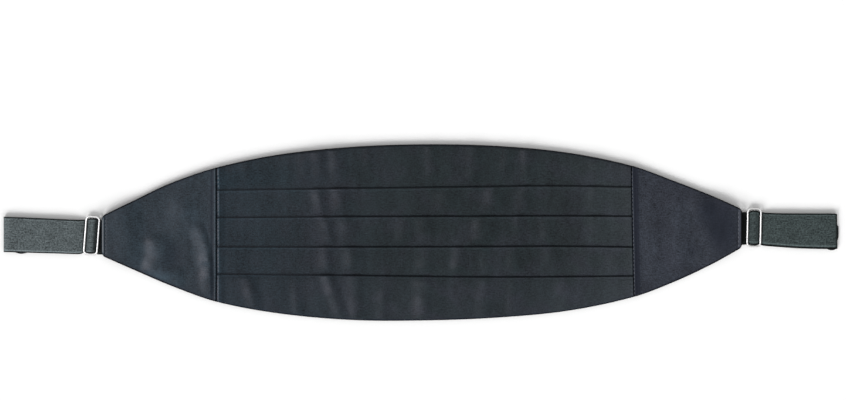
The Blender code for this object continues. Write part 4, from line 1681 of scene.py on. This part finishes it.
# %% The hook and the eye
CLASP_WIRE = 0.55
CLASP_WIDTH = 8.6
CLASP_HEIGHT = 21.0
CLASP_CORNER = 1.8
HOOK_RETURN = 4.6           # free end of the hook, turned back towards the strap
CLASP_GAP = 0.3
HOOK_Y = -3.3
EYE_Y = 1.2

clasp_reach = CLASP_WIDTH / 2 + CLASP_WIRE + CLASP_GAP
clasp_shape = rectangle(CLASP_WIDTH, CLASP_HEIGHT)
low_left, low_right, high_right, high_left = clasp_shape
hook_turn = low_right + Vector((0, HOOK_RETURN, 0))
hook_tail = low_right + Vector((-HOOK_RETURN, HOOK_RETURN, 0))
hook_corners = [low_left, high_left, high_right, hook_turn, hook_tail]
wire_hook = make_wire("wire_hook", hook_corners, CLASP_CORNER, False, CLASP_WIRE)
place_wire(wire_hook, TIP_LEFT - LEFT_HIDDEN_RUN[0].along + clasp_reach, HOOK_Y, CLASP_WIRE)
wire_eye = make_wire("wire_eye", clasp_shape, CLASP_CORNER, True, CLASP_WIRE)
place_wire(wire_eye, TIP_RIGHT + RIGHT_HIDDEN_RUN[0].along - clasp_reach, EYE_Y, CLASP_WIRE)

# %% [markdown]
# ## Stitches
#
# A row of sewing runs beside each seam and across each tip, where it holds the strap.  One stitch is a
# small ball drawn out along the thread.  It is copied along each row, and the row is joined into one
# piece.

# %% Stitches
STITCH = (0.42, 2.1, 0.3)   # width, length and height
SEAM_END = 2.6              # from the outline to a seam row's first stitch
TIP_END = 3.0
LEFT_ROW_AT = 1.3           # from the left seam, on the front
RIGHT_ROW_AT = 0.55         # from the right seam, on the panel
STEEPEST = 0.35             # radians; a stitch isn't set where the cloth is steeper
SPAN = 0.6                  # the slope is measured this far to both sides


def one_stitch():
    bpy.ops.object.select_all(action="DESELECT")
    bpy.ops.mesh.primitive_uv_sphere_add(segments=8, ring_count=6, radius=0.5 * MM)
    stitch = bpy.context.active_object
    bpy.ops.object.mode_set(mode="EDIT")
    bpy.ops.mesh.select_all(action="SELECT")
    bpy.ops.transform.resize(value=STITCH)
    bpy.ops.object.mode_set(mode="OBJECT")
    bpy.ops.object.shade_smooth()
    stitch.data.materials.append(sewing_thread)
    return stitch


def stitch_row(name, places):
    """Copies a stitch to each place on the cloth and joins the row."""
    pattern = one_stitch()
    copies = []
    for x, y, z, tilt in places:
        copy = pattern.copy()
        copy.data = pattern.data.copy()
        copy.location = (x * MM, y * MM, z * MM)
        copy.rotation_euler = (tilt, 0, 0)
        bpy.context.scene.collection.objects.link(copy)
        copies.append(copy)
    bpy.data.objects.remove(pattern, do_unlink=True)
    select_only(copies[0])
    for copy in copies:
        copy.select_set(True)
    bpy.ops.object.join()
    row = bpy.context.active_object
    row.name = name
    bpy.ops.object.transform_apply(location=True, rotation=True, scale=True)
    report(row)
    return row


def top_of_cloth(piece, x, y):
    """Height of a piece's upper face, and how steeply it rises along Y, at a place."""
    above = 20 * MM

    def height(spot):
        hit, point, _, _ = piece.ray_cast(Vector((x * MM, spot * MM, above)), Vector((0, 0, -1)))
        return point.z / MM if hit else 0.0

    rise = (height(y + SPAN) - height(y - SPAN)) / (2 * SPAN)
    return height(y), math.atan(rise)


def sewn_row(name, piece, x_middle, lean, end, sink):
    """A row of stitches up the cloth at x_middle, sunk a little into it."""
    bottom, top = panel_outline(x_middle, end)
    places = []
    y = bottom
    while y < top:
        x = x_middle + lean * y
        z, tilt = top_of_cloth(piece, x, y)
        if abs(tilt) < STEEPEST:
            places.append((x, y, z - sink, tilt))
        y += PUCKER_PITCH
    return stitch_row(name, places)


left_seam_at = SEAM_LEFT + LEFT_ROW_AT
right_seam_at = SEAM_RIGHT + RIGHT_ROW_AT
left_tip_at = TIP_LEFT + TIP_STITCHES
right_tip_at = TIP_RIGHT - TIP_STITCHES
seam_row_left = sewn_row("stitches_seam_left", front_panel, left_seam_at, 0.0, SEAM_END, sink=0.02)
seam_row_right = sewn_row(
    "stitches_seam_right", panel_right, right_seam_at, SEAM_RIGHT_LEAN, SEAM_END, sink=0.06
)
tip_row_left = sewn_row("stitches_tip_left", panel_left, left_tip_at, 0.0, TIP_END, sink=0.1)
tip_row_right = sewn_row("stitches_tip_right", panel_right, right_tip_at, 0.0, TIP_END, sink=0.02)

# %% [markdown]
# ## Joining the frame
#
# Every piece rides on the garment's one body, and the CAD solid that it stands for is hidden.

# %% Bodies and the CAD solids they stand for
for piece, node, slot_name in (
    (front_panel, "front_panel", "satin"),
    (panel_left, "side_panel_left", "satin"),
    (panel_right, "side_panel_right", "satin"),
    (strap_left, "strap_left", "elastic"),
    (strap_right, "strap_right", "elastic"),
    (adjuster_left, "slider_left", "steel_wire"),
    (adjuster_right, "slider_right", "steel_wire"),
    (wire_hook, "hook_left", "steel_wire"),
    (wire_eye, "eye_right", "steel_wire"),
):
    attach(piece, "root")
    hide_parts(node)
for row in (seam_row_left, seam_row_right, tip_row_left, tip_row_right):
    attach(row, "root")

for piece, size, strap_name, rows in (
    (panel_left, left_size, "elastic_strap_left", [tip_row_left]),
    (panel_right, right_size, "elastic_strap_right", [tip_row_right, seam_row_right]),
):
    size.width * MM
    size.area * MM * MM
